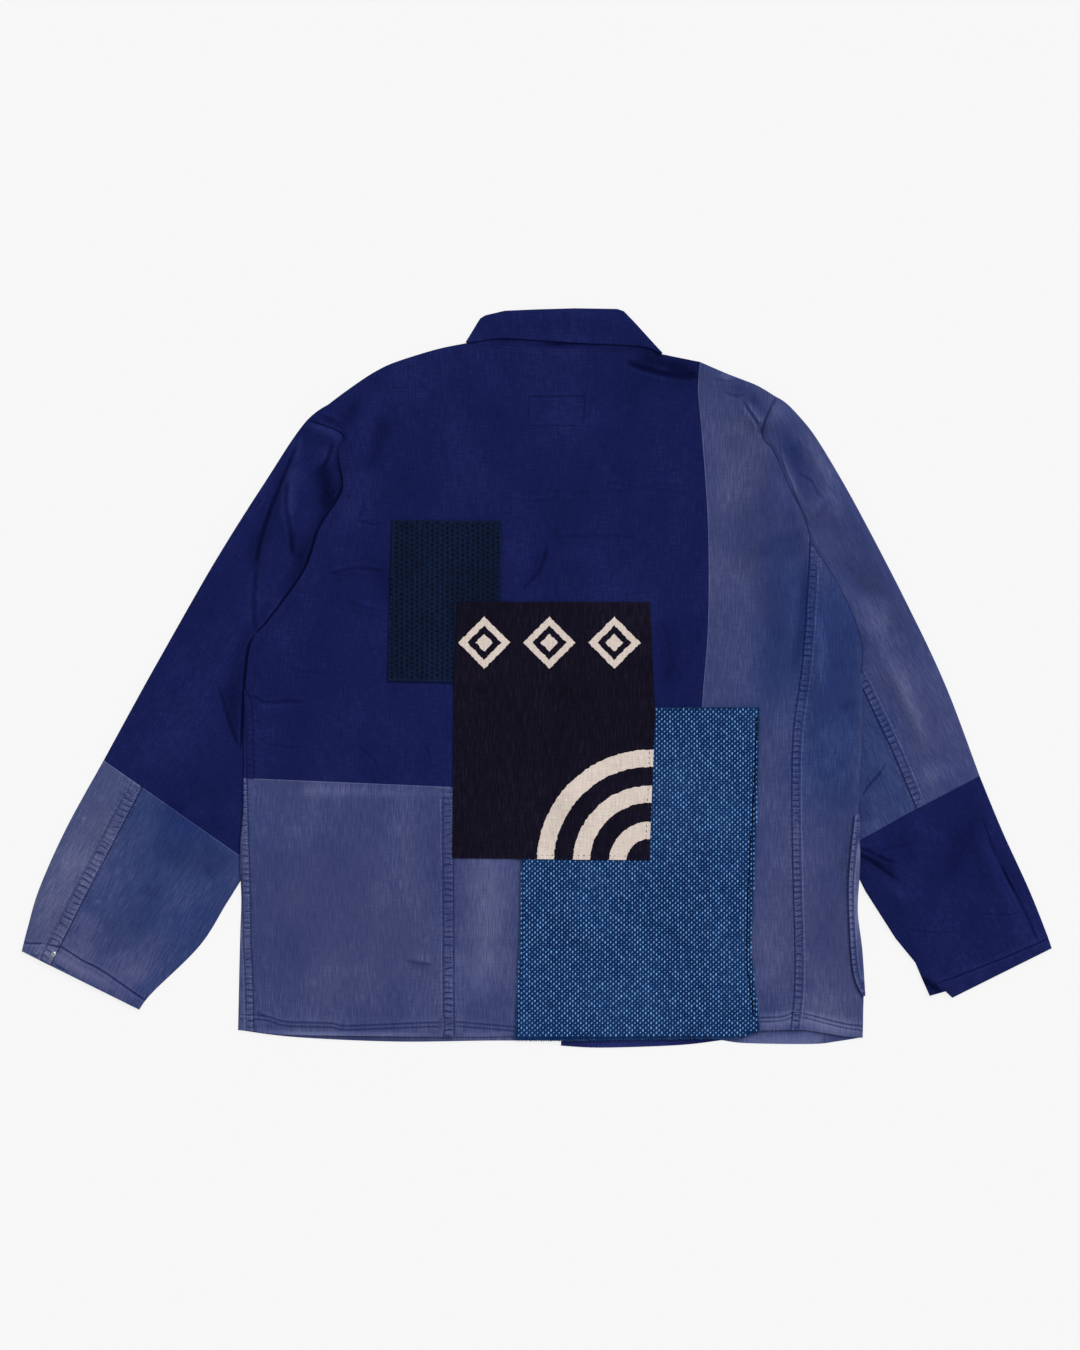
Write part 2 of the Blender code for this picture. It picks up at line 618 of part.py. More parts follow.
def build_folded_panel(points, low_sheet, high_sheet):
    # two sheets joined round a folded edge: lower sheet, a point standing out at mid height, upper sheet
    name, low_triangles, low_side, wall, low_height = low_sheet
    _, high_triangles, high_side, _, high_height = high_sheet
    fold_lines, bulge = folds[name]
    low_outer, low_inner = sheet_skins(points, low_height, wall, low_side)
    high_outer, high_inner = sheet_skins(points, high_height, wall, high_side)
    count = len(points)
    low_faces = [tuple(t) for t in oriented(points, low_triangles, low_side)]
    high_faces = [tuple(t + count) for t in oriented(points, high_triangles, high_side)]
    fold_points = np.vstack([line_points(line) for line in fold_lines])
    on_fold = distance_to_segments(points, fold_points[:-1], fold_points[1:]) < 2 * merge_step
    fold_edges = [(a, b, third) for a, b, third in boundary_edges(low_faces) if on_fold[a] and on_fold[b]]
    away = np.zeros((count, 2))
    for a, b, third in fold_edges:
        along = points[b] - points[a]
        side = np.array((along[1], -along[0])) / np.linalg.norm(along)
        if side @ (points[third] - points[a]) > 0:
            side = -side
        away[a] += side
        away[b] += side
    length = np.maximum(np.linalg.norm(away, axis=1), 1e-9)[:, None]
    away = away / length
    middle = (low_height + high_height + wall) / 2
    mid_outer = np.column_stack((points + away * (bulge + wall), middle))
    mid_inner = np.column_stack((points + away * bulge, middle))
    outer = np.vstack([low_outer, high_outer, mid_outer])
    inner = np.vstack([low_inner, high_inner, mid_inner])
    strip = []
    for a, b, _ in fold_edges:
        mid_a, mid_b = a + 2 * count, b + 2 * count
        top_a, top_b = a + count, b + count
        strip += [(b, a, mid_a), (b, mid_a, mid_b), (mid_b, mid_a, top_a), (mid_b, top_a, top_b)]
    return thicken(name, outer, inner, low_faces + strip + high_faces)


# ---- buttons and rivet ----

def build_button(name, x, y):
    # a sew-through button, face down on the floor: flat back, raised rim, dished face
    profile = [  # radius, height
        (0.0, button_height), (button_radius - 1.0, button_height), (button_radius, button_height - 1.0),
        (button_radius, 0.6), (button_radius - 0.6, 0.0), (button_radius - button_rim, 0.0),
        (button_radius - button_rim - 0.8, button_dish), (0.0, button_dish),
    ]
    return turned_piece(name, x, y, 0.0, profile, horn_brown, 0.0, 20)


def build_rivet(name, x, y, base):
    profile = [(0.0, 0.0), (rivet_radius, 0.0), (rivet_radius, 0.5), (rivet_radius - 0.7, rivet_height),
               (0.0, rivet_height)]
    return turned_piece(name, x, y, base, profile, nickel, 1.0, 16)


def turned_piece(name, x, y, base, profile, finish, metallic, segments):
    lathe = bmesh.new()
    ends = [lathe.verts.new((radius * mm, 0.0, height * mm)) for radius, height in profile]
    edges = [lathe.edges.new(pair) for pair in zip(ends, ends[1:])]
    bmesh.ops.spin(lathe, geom=ends + edges, cent=(0, 0, 0), axis=(0, 0, 1), angle=math.tau, steps=segments,
                   use_merge=True, use_duplicate=False)
    bmesh.ops.remove_doubles(lathe, verts=lathe.verts, dist=0.00001)
    bmesh.ops.recalc_face_normals(lathe, faces=lathe.faces)
    bmesh.ops.triangulate(lathe, faces=lathe.faces)
    mesh = bpy.data.meshes.new(name)
    lathe.to_mesh(mesh)
    lathe.free()
    mesh.shade_smooth()
    mesh.set_sharp_from_angle(angle=math.radians(40))
    item = add_object(name, mesh, finish, metallic)
    item.location = (x * mm, y * mm, base * mm)
    return item


def main():
    for item in list(bpy.data.objects):
        bpy.data.objects.remove(item, do_unlink=True)
    outlines, held, rings = plan_outlines()
    points, faces = make_plan(outlines + held + rings)
    placed = stack_sheets(points, faces, outlines, held, rings)
    for name in dict.fromkeys(sheet[0] for sheet in placed):
        own = [sheet for sheet in placed if sheet[0] == name]
        if len(own) == 2:
            build_folded_panel(points, own[0], own[1])
        else:
            build_flat_panel(points, own[0])
    for sleeve in sleeves.values():
        for name, (first, last, strip) in sleeve["pieces"].items():
            build_sleeve_piece(name, sleeve, first, last, strip)
    for row in range(button_count):
        build_button(f"button_{row + 1}", button_x, button_top_y - row * button_pitch)
    build_rivet("cuff_rivet", rivet_x, rivet_y, tube_height + layer_gap)


main()
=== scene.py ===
import math

import bpy
import numpy as np
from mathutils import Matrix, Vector
from mathutils.bvhtree import BVHTree
from mathutils.geometry import delaunay_2d_cdt


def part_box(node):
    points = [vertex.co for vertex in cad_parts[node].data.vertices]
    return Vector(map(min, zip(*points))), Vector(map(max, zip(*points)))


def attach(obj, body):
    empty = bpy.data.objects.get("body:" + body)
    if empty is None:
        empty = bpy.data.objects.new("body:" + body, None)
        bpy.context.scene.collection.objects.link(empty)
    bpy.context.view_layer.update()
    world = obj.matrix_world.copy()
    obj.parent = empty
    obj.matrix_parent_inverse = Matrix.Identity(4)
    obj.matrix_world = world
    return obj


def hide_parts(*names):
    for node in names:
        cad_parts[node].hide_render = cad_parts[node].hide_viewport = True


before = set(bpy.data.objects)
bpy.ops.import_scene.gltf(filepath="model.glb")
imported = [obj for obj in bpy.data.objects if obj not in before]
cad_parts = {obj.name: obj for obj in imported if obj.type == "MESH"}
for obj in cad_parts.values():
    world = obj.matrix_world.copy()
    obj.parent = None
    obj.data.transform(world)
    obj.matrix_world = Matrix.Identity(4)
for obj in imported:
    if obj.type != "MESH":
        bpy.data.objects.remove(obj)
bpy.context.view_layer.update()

# Patched work jacket laid flat on its front, the back up, collar towards +Y.
# Plan sizes are millimetres, in the frame's own X and Y, and turn to metres when a mesh is made.
mm = 0.001

cloth = {
    "wall": 1.2,             # work cotton
    "gap": 0.3,              # air between cloth lying on cloth
    "tubeHollow": 0.4,       # inside a flattened sleeve
    "foldBulge": 1.7,        # how far a folded edge runs out past its line
    "sleeveInset": 1.7,      # sleeve lines are silhouettes, so their cloth stops this far inside
    "insetReach": 14.0,      # and is drawn in over this width
    "showStep": 2.4,         # mesh spacing where the cloth shows
    "flatStep": 3.2,         # on the patches and the flat panel under one of them
    "hiddenStep": 6.0,       # where it lies face down or inside
    "bandStep": 1.35,        # along a felled seam
}

frontEdge = {"left": 59.0, "right": 24.0}  # x of the two front edges, left lying lowest

corners = {
    "neckLeft": (-70.0, 334.5), "neckRight": (124.5, 323.6), "shoulderSplit": (163.0, 315.8),
    "tipLeft": (-228.0, 257.5), "tipRight": (238.5, 280.5),
    "armpitLeft": (-291.0, -11.5), "armpitRight": (272.5, 136.5),
    "waistLeft": (-291.5, -100.5), "waistBand": (-282.5, -101.0), "waistMid": (-84.0, -109.5),
    "bandTop": (-289.6, -100.6),
    "waistRight": (163.0, -112.0), "waistFront": (frontEdge["left"], -111.0),
    "hemLeft": (-297.5, -353.0), "hemBand": (-283.0, -353.8), "hemMid": (-83.0, -359.5),
    "hemSplit": (163.0, -354.5), "hemSide": (254.0, -352.5), "hemRight": (324.3, -360.3),
    "foldTop": (324.0, 5.0), "pocketTop": (319.2, -136.0), "pocketLow": (325.2, -318.5),
    "frontNeckLeft": (frontEdge["left"], 250.0), "frontNeckRight": (frontEdge["right"], 247.0),
    "frontHemLeft": (frontEdge["left"], -364.0), "frontHemRight": (frontEdge["right"], -368.5),
    "frontHemSeam": (185.0, -363.0),
    # sleeves: outer and inner edge at the armhole, the cross seam and the cuff, and their lengthwise seams
    "leftHeadOuter": (-193.0, 279.0), "leftHeadInner": (-240.0, 28.0),
    "leftCrossOuter": (-432.0, -83.5), "leftCrossInner": (-287.0, -185.0), "leftCrossSeam": (-394.5, -109.5),
    "leftCuffOuter": (-514.0, -274.5), "leftCuffInner": (-399.5, -331.5), "leftCuffSeam": (-486.5, -288.3),
    "rightHeadOuter": (214.0, 286.5), "rightHeadInner": (248.0, 48.0), "rightHeadSeam": (211.9, 159.7),
    "rightCrossOuter": (441.5, -99.5), "rightCrossInner": (309.0, -171.0), "rightCrossSeam": (379.5, -131.5),
    "rightCuffOuter": (513.5, -271.5), "rightCuffInner": (394.5, -318.0),
}

# lines of the jacket as it lies; "smooth" ones curve through their points
seamLines = {
    "neckSeam": ["neckLeft", (-49, 333.5), (-14, 330.5), (36, 328.5), (85, 328.3), "neckRight"],
    "shoulderLeft": ["neckLeft", (-100, 328.5), (-141, 315.8), (-162, 306), (-182, 293), (-202, 278),
                     "tipLeft"],
    "shoulderNavy": ["neckRight", "shoulderSplit"],
    "shoulderRight": ["shoulderSplit", (189, 304.5), (219, 292.5), "tipRight"],
    "armholeLeft": ["tipLeft", (-194, 243.5), (-198, 222), (-194, 187.5), (-216, 150.5), (-232, 106.5),
                    (-266.5, 58.5), (-285, 34.5), "armpitLeft"],
    "armholeRight": ["tipRight", (224, 246), (235.5, 227), (245.5, 207), (252.5, 189.5), (265, 164),
                     (271, 147), "armpitRight"],
    "creaseRight": ["armpitRight", (300, 94.5), (317, 58.5), (325, 30), "foldTop"],
    "navySeam": ["shoulderSplit", (161, 287.5), (165, 242.5), (171, 150), (171, 53.5), (165, -30),
                 "waistRight"],
    "hiddenSeam": ["waistRight", "hemSplit"],
    "waistSeam": ["waistBand", "waistMid"],
    "waistSeamLow": ["bandTop", "waistBand", "waistMid"],
    "waistHidden": ["waistMid", "waistRight"],
    "felledSeam": ["waistMid", "hemMid"],
    "sideSeam": ["armpitRight", (272, 116.5), (269, 67.5), (265, 11.5), (257, -50), (255, -98.5),
                 (255.5, -175.5), (258, -294.5), "hemSide"],
    "backHemLeft": ["hemBand", (-247, -357.5), "hemMid"],
    "backHemMid": ["hemMid", (60, -358.5), "hemSplit"],
    "backHemRight": ["hemSplit", "hemSide"],
    "foldLeftUpper": ["armpitLeft", "waistLeft"],
    "foldLeftLower": ["waistLeft", (-292, -133), (-295.3, -175.5), (-294.2, -222), (-295.5, -262.5),
                      "hemLeft"],
    "bandUpper": ["armpitLeft", (-284.5, -26), "waistBand"],
    "bandLower": ["bandTop", (-289, -125), (-288, -163), (-286.6, -222), (-286.1, -265), (-284.5, -299),
                  "hemBand"],
    "waistTurn": ["waistLeft", "bandTop", "waistBand"],
    "waistTurnLow": ["waistLeft", "bandTop"],
    "hemTurnLeft": ["hemLeft", "hemBand"],
    "foldRightUpper": ["foldTop", (322.8, -60), "pocketTop"],
    "foldPocket": ["pocketTop", (319.5, -190), (317.7, -233.5), (322.2, -272.5), "pocketLow"],
    "foldRightLower": ["pocketLow", "hemRight"],
    "hemTurnRight": ["hemSide", (267, -352.6), (286, -355.3), (308, -359), "hemRight"],
    "frontNeckCurveLeft": ["neckLeft", (-63, 300), (-30, 266), (10, 252), "frontNeckLeft"],
    "frontNeckCurveRight": ["neckRight", (120, 292), (92, 262), (60, 250), "frontNeckRight"],
    "frontEdgeLeftUpper": ["frontNeckLeft", "waistFront"],
    "frontEdgeLeftLower": ["waistFront", "frontHemLeft"],
    "frontEdgeRight": ["frontNeckRight", "frontHemRight"],
    "waistFrontSeam": ["waistLeft", "waistFront"],
    "frontSeam": ["shoulderSplit", "frontHemSeam"],
    "frontHemLow": ["hemLeft", (-241, -360), (-141, -364.4), (-40, -363.4), "frontHemLeft"],
    "frontHemNavy": ["frontHemRight", (65, -370.5), (141, -368), "frontHemSeam"],
    "frontHemSide": ["frontHemSeam", (210, -366), (275, -366.8), (300, -364.2), "hemRight"],
    "pocketMouth": ["pocketTop", (168, -136)],
    "pocketInner": [(168, -136), (168, -300)],
    "pocketCorner": [(168, -300), (171.5, -318), (182, -328.5), (200, -332)],
    "pocketBottom": [(200, -332), (300, -332), "pocketLow"],
    "pocketLip": ["pocketTop", (316.8, -137.5)],
    "pocketBackEdge": [(316.8, -137.5), (312.6, -178), (311, -215), (313, -267.5), (317, -300), "pocketLow"],
    "roll": ["neckLeft", (-58.3, 354), (-55.6, 358.2), (-51, 361), (-32, 365.4), (2, 366.8), (38, 367.8),
             (80, 367.2), (86, 365.2), (98.6, 352), "neckRight"],
    "fallEdge": ["neckLeft", (-45, 338.4), (-24, 338.9), (44, 334.4), (85, 332.5), (110, 330.2), "neckRight"],
    "leafLeft": [(-84, 316), (-62, 256), (-36, 210), (34, 244), (22, 256), (-26, 278), (-54, 312),
                 (-66, 338)],
    "leafRight": [(140, 306), (118, 250), (94, 206), (50, 240), (60, 258), (92, 272), (112, 300), (122, 326)],
    "darkPatch": [(-145, 157.5), (-36, 156.5), (-38, -6), (-149, -3.5)],
    "bluePatch": [(-12, -30.5), (118, -30.5), (223, -29.5), (220, -127.5), (214, -272.5), (223, -353.5),
                  (204, -360.5), (3, -363), (-22, -362.5), (-17, -254.5)],
    "norenPatch": [(-79, 75.5), (113, 75.5), (118, -37.5), (112, -182.5), (-85, -180.5), (-83, -1.5)],
    # left sleeve
    "leftHead": ["leftHeadOuter", (-184, 247), (-182, 195.5), (-194, 121.5), (-214, 74), "leftHeadInner"],
    "leftOuterUpper": ["leftHeadOuter", (-229, 256), (-274, 189.5), (-324, 109.5), (-381, 9.5),
                       "leftCrossOuter"],
    "leftOuterLower": ["leftCrossOuter", (-469, -150.5), (-496, -210.5), (-508, -250.5), "leftCuffOuter"],
    "leftInnerUpper": ["leftHeadInner", (-248, 10), (-262, -48), (-272, -96), (-281, -144), "leftCrossInner"],
    "leftInnerLower": ["leftCrossInner", (-312, -225), (-339, -267.5), (-386, -314), "leftCuffInner"],
    "leftCrossA": ["leftCrossOuter", "leftCrossSeam"],
    "leftCrossB": ["leftCrossSeam", "leftCrossInner"],
    "leftLength": ["leftCrossSeam", (-426.4, -170.7), (-454.5, -225.6), (-475.9, -267.2), "leftCuffSeam"],
    "leftCuffA": ["leftCuffOuter", "leftCuffSeam"],
    "leftCuffB": ["leftCuffSeam", "leftCuffInner"],
    # right sleeve
    "rightHeadA": ["rightHeadOuter", (208, 237), (208.5, 188.5), "rightHeadSeam"],
    "rightHeadB": ["rightHeadSeam", (221, 117), (237.5, 71), "rightHeadInner"],
    "rightOuterUpper": ["rightHeadOuter", (242, 277.5), (264, 257), (284, 229.5), (318, 170.5), (370, 70.5),
                        (408, -10.5), "rightCrossOuter"],
    "rightOuterLower": ["rightCrossOuter", (464, -154), (490.5, -212), (507, -253), "rightCuffOuter"],
    "rightInnerUpper": ["rightHeadInner", (262, 30), (276, -2), (286, -52), (297, -104), (303, -140),
                        "rightCrossInner"],
    "rightInnerLower": ["rightCrossInner", (330, -213), (360, -260), (380, -284.5), (386.5, -300),
                        "rightCuffInner"],
    "rightCrossA": ["rightCrossOuter", "rightCrossSeam"],
    "rightCrossB": ["rightCrossSeam", "rightCrossInner"],
    "rightLength": ["rightHeadSeam", (256, 130), (300, 50), (318, 6), (331, -22.6), (355.8, -74.9),
                    "rightCrossSeam"],
    "rightCuff": ["rightCuffOuter", (415.5, -320.5), (408.5, -314), "rightCuffInner"],
    "rightCuffUnder": ["rightCuffOuter", "rightCuffInner"],
}
closedLines = {"leafLeft", "leafRight", "darkPatch", "bluePatch", "norenPatch"}
smoothLines = {
    "neckSeam", "shoulderLeft", "shoulderRight", "armholeLeft", "armholeRight", "creaseRight", "navySeam",
    "sideSeam", "foldLeftLower", "foldRightUpper", "foldPocket", "frontNeckCurveLeft", "frontNeckCurveRight",
    "pocketBackEdge", "fallEdge", "leftHead", "leftOuterUpper", "leftOuterLower", "leftInnerUpper",
    "leftInnerLower", "leftLength", "rightHeadA", "rightHeadB", "rightOuterUpper", "rightOuterLower",
    "rightInnerUpper", "rightLength", "backHemLeft", "bandLower", "frontHemLow", "frontHemNavy",
    "frontHemSide", "hemTurnRight",
}


# points, outlines and distances in plan

def curvePoint(knots, index, share):
    last = len(knots) - 1
    a, b = knots[max(index - 1, 0)], knots[index]
    c, d = knots[index + 1], knots[min(index + 2, last)]
    return 0.5 * (2 * b + (c - a) * share + (2 * a - 5 * b + 4 * c - d) * share ** 2
                  + (3 * b - a - 3 * c + d) * share ** 3)


def resample(points, step):
    # the same line with its points evenly spaced
    run = np.concatenate([[0.0], np.cumsum(np.linalg.norm(np.diff(points, axis=0), axis=1))])
    at = np.linspace(0.0, run[-1], max(1, math.ceil(run[-1] / step)) + 1)
    return np.column_stack([np.interp(at, run, points[:, k]) for k in range(points.shape[1])])


def smoothPath(knots, step):
    # a curve through given points
    knots = [np.array(p, dtype=float) for p in knots]
    dense = [curvePoint(knots, k, s / 16) for k in range(len(knots) - 1) for s in range(16)]
    return resample(np.array(dense + [knots[-1]]), step)


def linePoints(name, step):
    knots = [corners[p] if isinstance(p, str) else p for p in seamLines[name]]
    if name in smoothLines:
        return smoothPath(knots, step)
    if name in closedLines:
        knots = knots + knots[:1]
    parts = [resample(np.array(pair, dtype=float), step)[:-1] for pair in zip(knots, knots[1:])]
    return np.vstack(parts + [np.array(knots[-1:], dtype=float)])


def loopOf(names, step, inset=0.0):
    # one closed outline, running anticlockwise, and the line that each of its edges lies on
    runs, owners = [], []
    for name in names:
        points = linePoints(name.lstrip("-"), step)
        runs.append((points[::-1] if name.startswith("-") else points)[:-1])
        owners += [name.lstrip("-")] * len(runs[-1])
    loop = np.vstack(runs)
    x, y = loop[:, 0], loop[:, 1]
    if np.sum(x * np.roll(y, -1) - np.roll(x, -1) * y) < 0:
        loop = loop[::-1]
        owners = owners[::-1][1:] + owners[-1:]
    edge = np.roll(loop, -1, axis=0) - loop
    left = np.column_stack([-edge[:, 1], edge[:, 0]]) / np.linalg.norm(edge, axis=1)[:, None]
    both = left + np.roll(left, 1, axis=0)
    size = np.maximum(np.linalg.norm(both, axis=1), 0.6)[:, None]
    return loop + both / size ** 2 * 2 * inset, owners


def acrossLine(line):
    # the way square to the line at each of its points, on its left
    way = np.gradient(line, axis=0)
    return np.column_stack([-way[:, 1], way[:, 0]]) / np.linalg.norm(way, axis=1)[:, None]


def lengthOf(line):
    return np.linalg.norm(np.diff(line, axis=0), axis=1).sum()


def crossings(loop, y):
    # where a level line cuts the loop, from left to right
    ay, by = loop[:, 1], np.roll(loop[:, 1], -1)
    hit = (ay > y) != (by > y)
    ax, bx = loop[:, 0][hit], np.roll(loop[:, 0], -1)[hit]
    return np.sort(ax + (y - ay[hit]) * (bx - ax) / (by[hit] - ay[hit]))


def nearestOnLine(points, line):
    # how far along the line each point lies, how far from it, and the way towards it
    start, run = line[:-1], np.diff(line, axis=0)
    length = np.linalg.norm(run, axis=1)
    before = np.concatenate([[0.0], np.cumsum(length)[:-1]])
    along, across, towards = np.zeros(len(points)), np.zeros(len(points)), np.zeros((len(points), 2))
    for first in range(0, len(points), 3000):
        offset = points[first:first + 3000, None, :] - start[None]
        share = np.clip((offset * run).sum(axis=2) / length ** 2, 0.0, 1.0)
        away = offset - share[..., None] * run
        gap = np.linalg.norm(away, axis=2)
        best = gap.argmin(axis=1)
        row = np.arange(len(best))
        along[first:first + 3000] = before[best] + share[row, best] * length[best]
        across[first:first + 3000] = gap[row, best]
        towards[first:first + 3000] = -away[row, best]
    return along, across, towards / np.maximum(across, 1e-6)[:, None]


def fieldPoints(loop, step):
    # a staggered grid inside the loop
    rows = []
    y, odd = math.floor(loop[:, 1].min() / step) * step, 0
    while y < loop[:, 1].max():
        cuts = crossings(loop, y + 1e-6)
        for left, right in zip(cuts[::2], cuts[1::2]):
            first = (math.ceil(left / step - odd / 2) + odd / 2) * step
            x = np.arange(first, right, step)
            rows.append(np.column_stack([x, np.full(len(x), y)]))
        y += step * math.sqrt(3) / 2
        odd = 1 - odd
    return np.vstack(rows) if rows else np.zeros((0, 2))


def farFrom(points, line, reach):
    # the points that lie further than this from a line
    box = (points > line.min(axis=0) - reach).all(axis=1) & (points < line.max(axis=0) + reach).all(axis=1)
    keep = np.ones(len(points), dtype=bool)
    keep[box] = nearestOnLine(points[box], line)[1] > reach
    return points[keep]


def smoothStep(value, low, high):
    share = np.clip((value - low) / (high - low), 0.0, 1.0)
    return share * share * (3 - 2 * share)


print("plan ready:", len(seamLines), "lines")


# a sheet is one outline at one level of the pile; "low" sheets face the floor, "high" ones face up,
# and a piece with both is folded over along its folds

allSleeve = ["leftHead", "leftInnerUpper", "-leftCrossB", "-leftCrossA", "-leftOuterUpper"]
outerLower = ["leftCrossA", "leftLength", "-leftCuffA", "-leftOuterLower"]
innerLower = ["leftCrossB", "leftInnerLower", "-leftCuffB", "-leftLength"]
outerUpper = ["rightHeadA", "rightLength", "-rightCrossA", "-rightOuterUpper"]
underUpper = ["rightHeadB", "rightInnerUpper", "-rightCrossB", "-rightLength"]
rightLower = ["rightCrossA", "rightCrossB", "rightInnerLower", "-rightCuff", "-rightOuterLower"]
rightLowerUnder = rightLower[:3] + ["-rightCuffUnder", "-rightOuterLower"]

leftGrain, rightGrain = 27.6, -25.8  # degrees that the sleeves' threads turn from the jacket's length

clothPieces = {
    "sleeve_left_upper": {
        "low": (0, allSleeve), "high": (1, allSleeve), "folds": ["leftInnerUpper", "leftOuterUpper"],
        "material": "navy", "grain": leftGrain},
    "sleeve_left_lower_outer": {
        "low": (0, outerLower), "high": (1, outerLower), "folds": ["leftOuterLower"],
        "material": "fadedPale", "grain": leftGrain},
    "sleeve_left_lower_inner": {
        "low": (0, innerLower), "high": (1, innerLower), "folds": ["leftInnerLower"],
        "material": "dull", "grain": leftGrain},
    "sleeve_right_upper_outer": {
        "low": (0, outerUpper), "high": (1, outerUpper), "folds": ["rightOuterUpper"],
        "material": "faded", "grain": rightGrain},
    "sleeve_right_upper_under": {
        "low": (0, underUpper), "high": (1, underUpper), "folds": ["rightInnerUpper"],
        "material": "dull", "grain": rightGrain},
    "sleeve_right_lower": {
        "low": (0, rightLowerUnder), "high": (1, rightLower),
        "folds": ["rightInnerLower", "rightOuterLower"],
        "material": "navy", "grain": rightGrain},
    "collar_end_left": {"low": (0, ["leafLeft"]), "material": "navy"},
    "collar_end_right": {"low": (0, ["leafRight"]), "material": "navy"},
    "front_left_upper": {
        "low": (2, ["frontNeckCurveLeft", "frontEdgeLeftUpper", "-waistFrontSeam", "-foldLeftUpper",
                    "-armholeLeft", "-shoulderLeft"]),
        "high": (4, ["foldLeftUpper", "waistTurn", "-bandUpper"]), "folds": ["foldLeftUpper"],
        "material": "navy"},
    "front_left_lower": {
        "low": (2, ["waistFrontSeam", "frontEdgeLeftLower", "-frontHemLow", "-foldLeftLower"]),
        "high": (4, ["foldLeftLower", "hemTurnLeft", "-bandLower", "-waistTurnLow"]),
        "folds": ["foldLeftLower"], "material": "fadedPale"},
    "pocket_right": {
        "low": (2, ["pocketMouth", "pocketInner", "pocketCorner", "pocketBottom", "-foldPocket"]),
        "high": (5, ["pocketLip", "pocketBackEdge", "-foldPocket"]), "folds": ["foldPocket"],
        "bulge": 3.3, "material": "faded"},  # it bulges more, round the front's own fold
    "front_right_centre": {
        "low": (3, ["shoulderNavy", "frontSeam", "-frontHemNavy", "-frontEdgeRight", "-frontNeckCurveRight"]),
        "material": "navy"},
    "front_right_side": {
        "low": (3, ["shoulderRight", "armholeRight", "creaseRight", "foldRightUpper", "foldPocket",
                    "foldRightLower", "-frontHemSide", "-frontSeam"]),
        "high": (4, ["creaseRight", "foldRightUpper", "foldPocket", "foldRightLower", "-hemTurnRight",
                     "-sideSeam"]),
        "folds": ["foldRightUpper", "foldPocket", "foldRightLower"], "material": "faded"},
    "back_navy": {
        "high": (4, ["neckSeam", "shoulderNavy", "navySeam", "-waistHidden", "-waistSeam", "-bandUpper",
                     "-armholeLeft", "-shoulderLeft"]),
        "material": "navy"},
    "back_lower_left": {
        "high": (4, ["waistSeamLow", "felledSeam", "-backHemLeft", "-bandLower"]), "material": "faded"},
    "back_lower_mid": {
        "high": (4, ["waistHidden", "hiddenSeam", "-backHemMid", "-felledSeam"]), "step": cloth["flatStep"],
        "material": "faded"},
    "back_right": {
        "high": (4, ["shoulderRight", "armholeRight", "sideSeam", "-backHemRight", "-hiddenSeam",
                     "-navySeam"]),
        "material": "faded"},
    "collar": {
        "low": (4, ["roll", "-neckSeam"]), "high": (5, ["roll", "-fallEdge"]), "folds": ["roll"],
        "material": "navy"},
    "patch_dark_sashiko": {
        "high": (5, ["darkPatch"]), "wall": 1.6, "step": cloth["flatStep"], "material": "darkSashiko"},
    "patch_blue_sashiko": {
        "high": (5, ["bluePatch"]), "wall": 1.6, "step": cloth["flatStep"], "material": "blueSashiko"},
    "patch_noren": {"high": (6, ["norenPatch"]), "wall": 1.0, "step": cloth["flatStep"], "material": "noren"},
}

# felled seams: the line, the piece that holds the turned-in band and the piece beside it, which puckers too,
# the band's width, the depth of the puckers, their seed, and the rows of stitches, by distance from the line;
# a plain edge has no band: a width of 1 stands for a pale pressed edge, part wear and part painted highlight,
# 0 for a painted shadow line
seamColumns = ("line", "piece", "beside", "width", "pucker", "seed", "rows")
felledSeams = [dict(zip(seamColumns, row)) for row in [
    ("sideSeam", "front_right_side", "back_right", 7.8, 0.32, 56, [1.4, 6.6]),
    ("bandLower", "front_left_lower", "back_lower_left", 7.4, 0.3, 56, [1.4]),
    ("bandUpper", "front_left_upper", "back_navy", 6.5, 0.12, 91, [1.4]),
    ("felledSeam", "back_lower_left", "back_lower_mid", 10.5, 0.3, 56, [1.6, 9.2]),
    ("waistSeam", "back_lower_left", "back_navy", 1.0, 0.08, 63, []),
    ("leftLength", "sleeve_left_lower_outer", "sleeve_left_lower_inner", 12.5, 0.34, 98, [1.6, 11.0]),
    ("rightLength", "sleeve_right_upper_outer", "sleeve_right_upper_under", 8.0, 0.34, 105, [1.4, 6.6]),
    ("navySeam", "back_right", "back_navy", 1.0, 0.06, 56, []),
    ("armholeRight", "back_right", "sleeve_right_upper_outer", 0.0, 0.0, 112, []),
    ("creaseRight", "front_right_side", "sleeve_right_upper_outer", 0.0, 0.0, 70, []),
    ("pocketBackEdge", "pocket_right", "front_right_side", 5.0, 0.2, 70, [4.3]),
    ("neckSeam", "back_navy", "", 0.0, 0.0, 56, [2.4]),
    ("fallEdge", "collar", "", 0.0, 0.0, 70, []),
    ("leftCrossB", "sleeve_left_lower_inner", "sleeve_left_upper", 1.0, 0.1, 63, []),
    ("leftCrossA", "sleeve_left_lower_outer", "sleeve_left_upper", 1.0, 0.1, 84, []),
    ("rightCrossA", "sleeve_right_lower", "sleeve_right_upper_outer", 0.0, 0.08, 70, []),
    ("rightCrossB", "sleeve_right_lower", "sleeve_right_upper_under", 0.0, 0.08, 84, []),
]]
seamForm = {"pitch": 5.8, "reach": 14.0, "bandRise": 0.9, "hemRise": 0.7, "crest": 0.55, "raisedCrest": 0.3,
            "hemCrest": 0.2}

# turned hems, a second layer of cloth along the edge: the line and the turning's width
hems = {
    "back_lower_left": ("backHemLeft", 17.0), "back_right": ("backHemRight", 17.0),
    "front_right_side": ("hemTurnRight", 17.0), "sleeve_right_lower": ("rightCuff", 16.0),
    "sleeve_left_lower_outer": ("leftCuffA", 11.0), "sleeve_left_lower_inner": ("leftCuffB", 11.0),
}


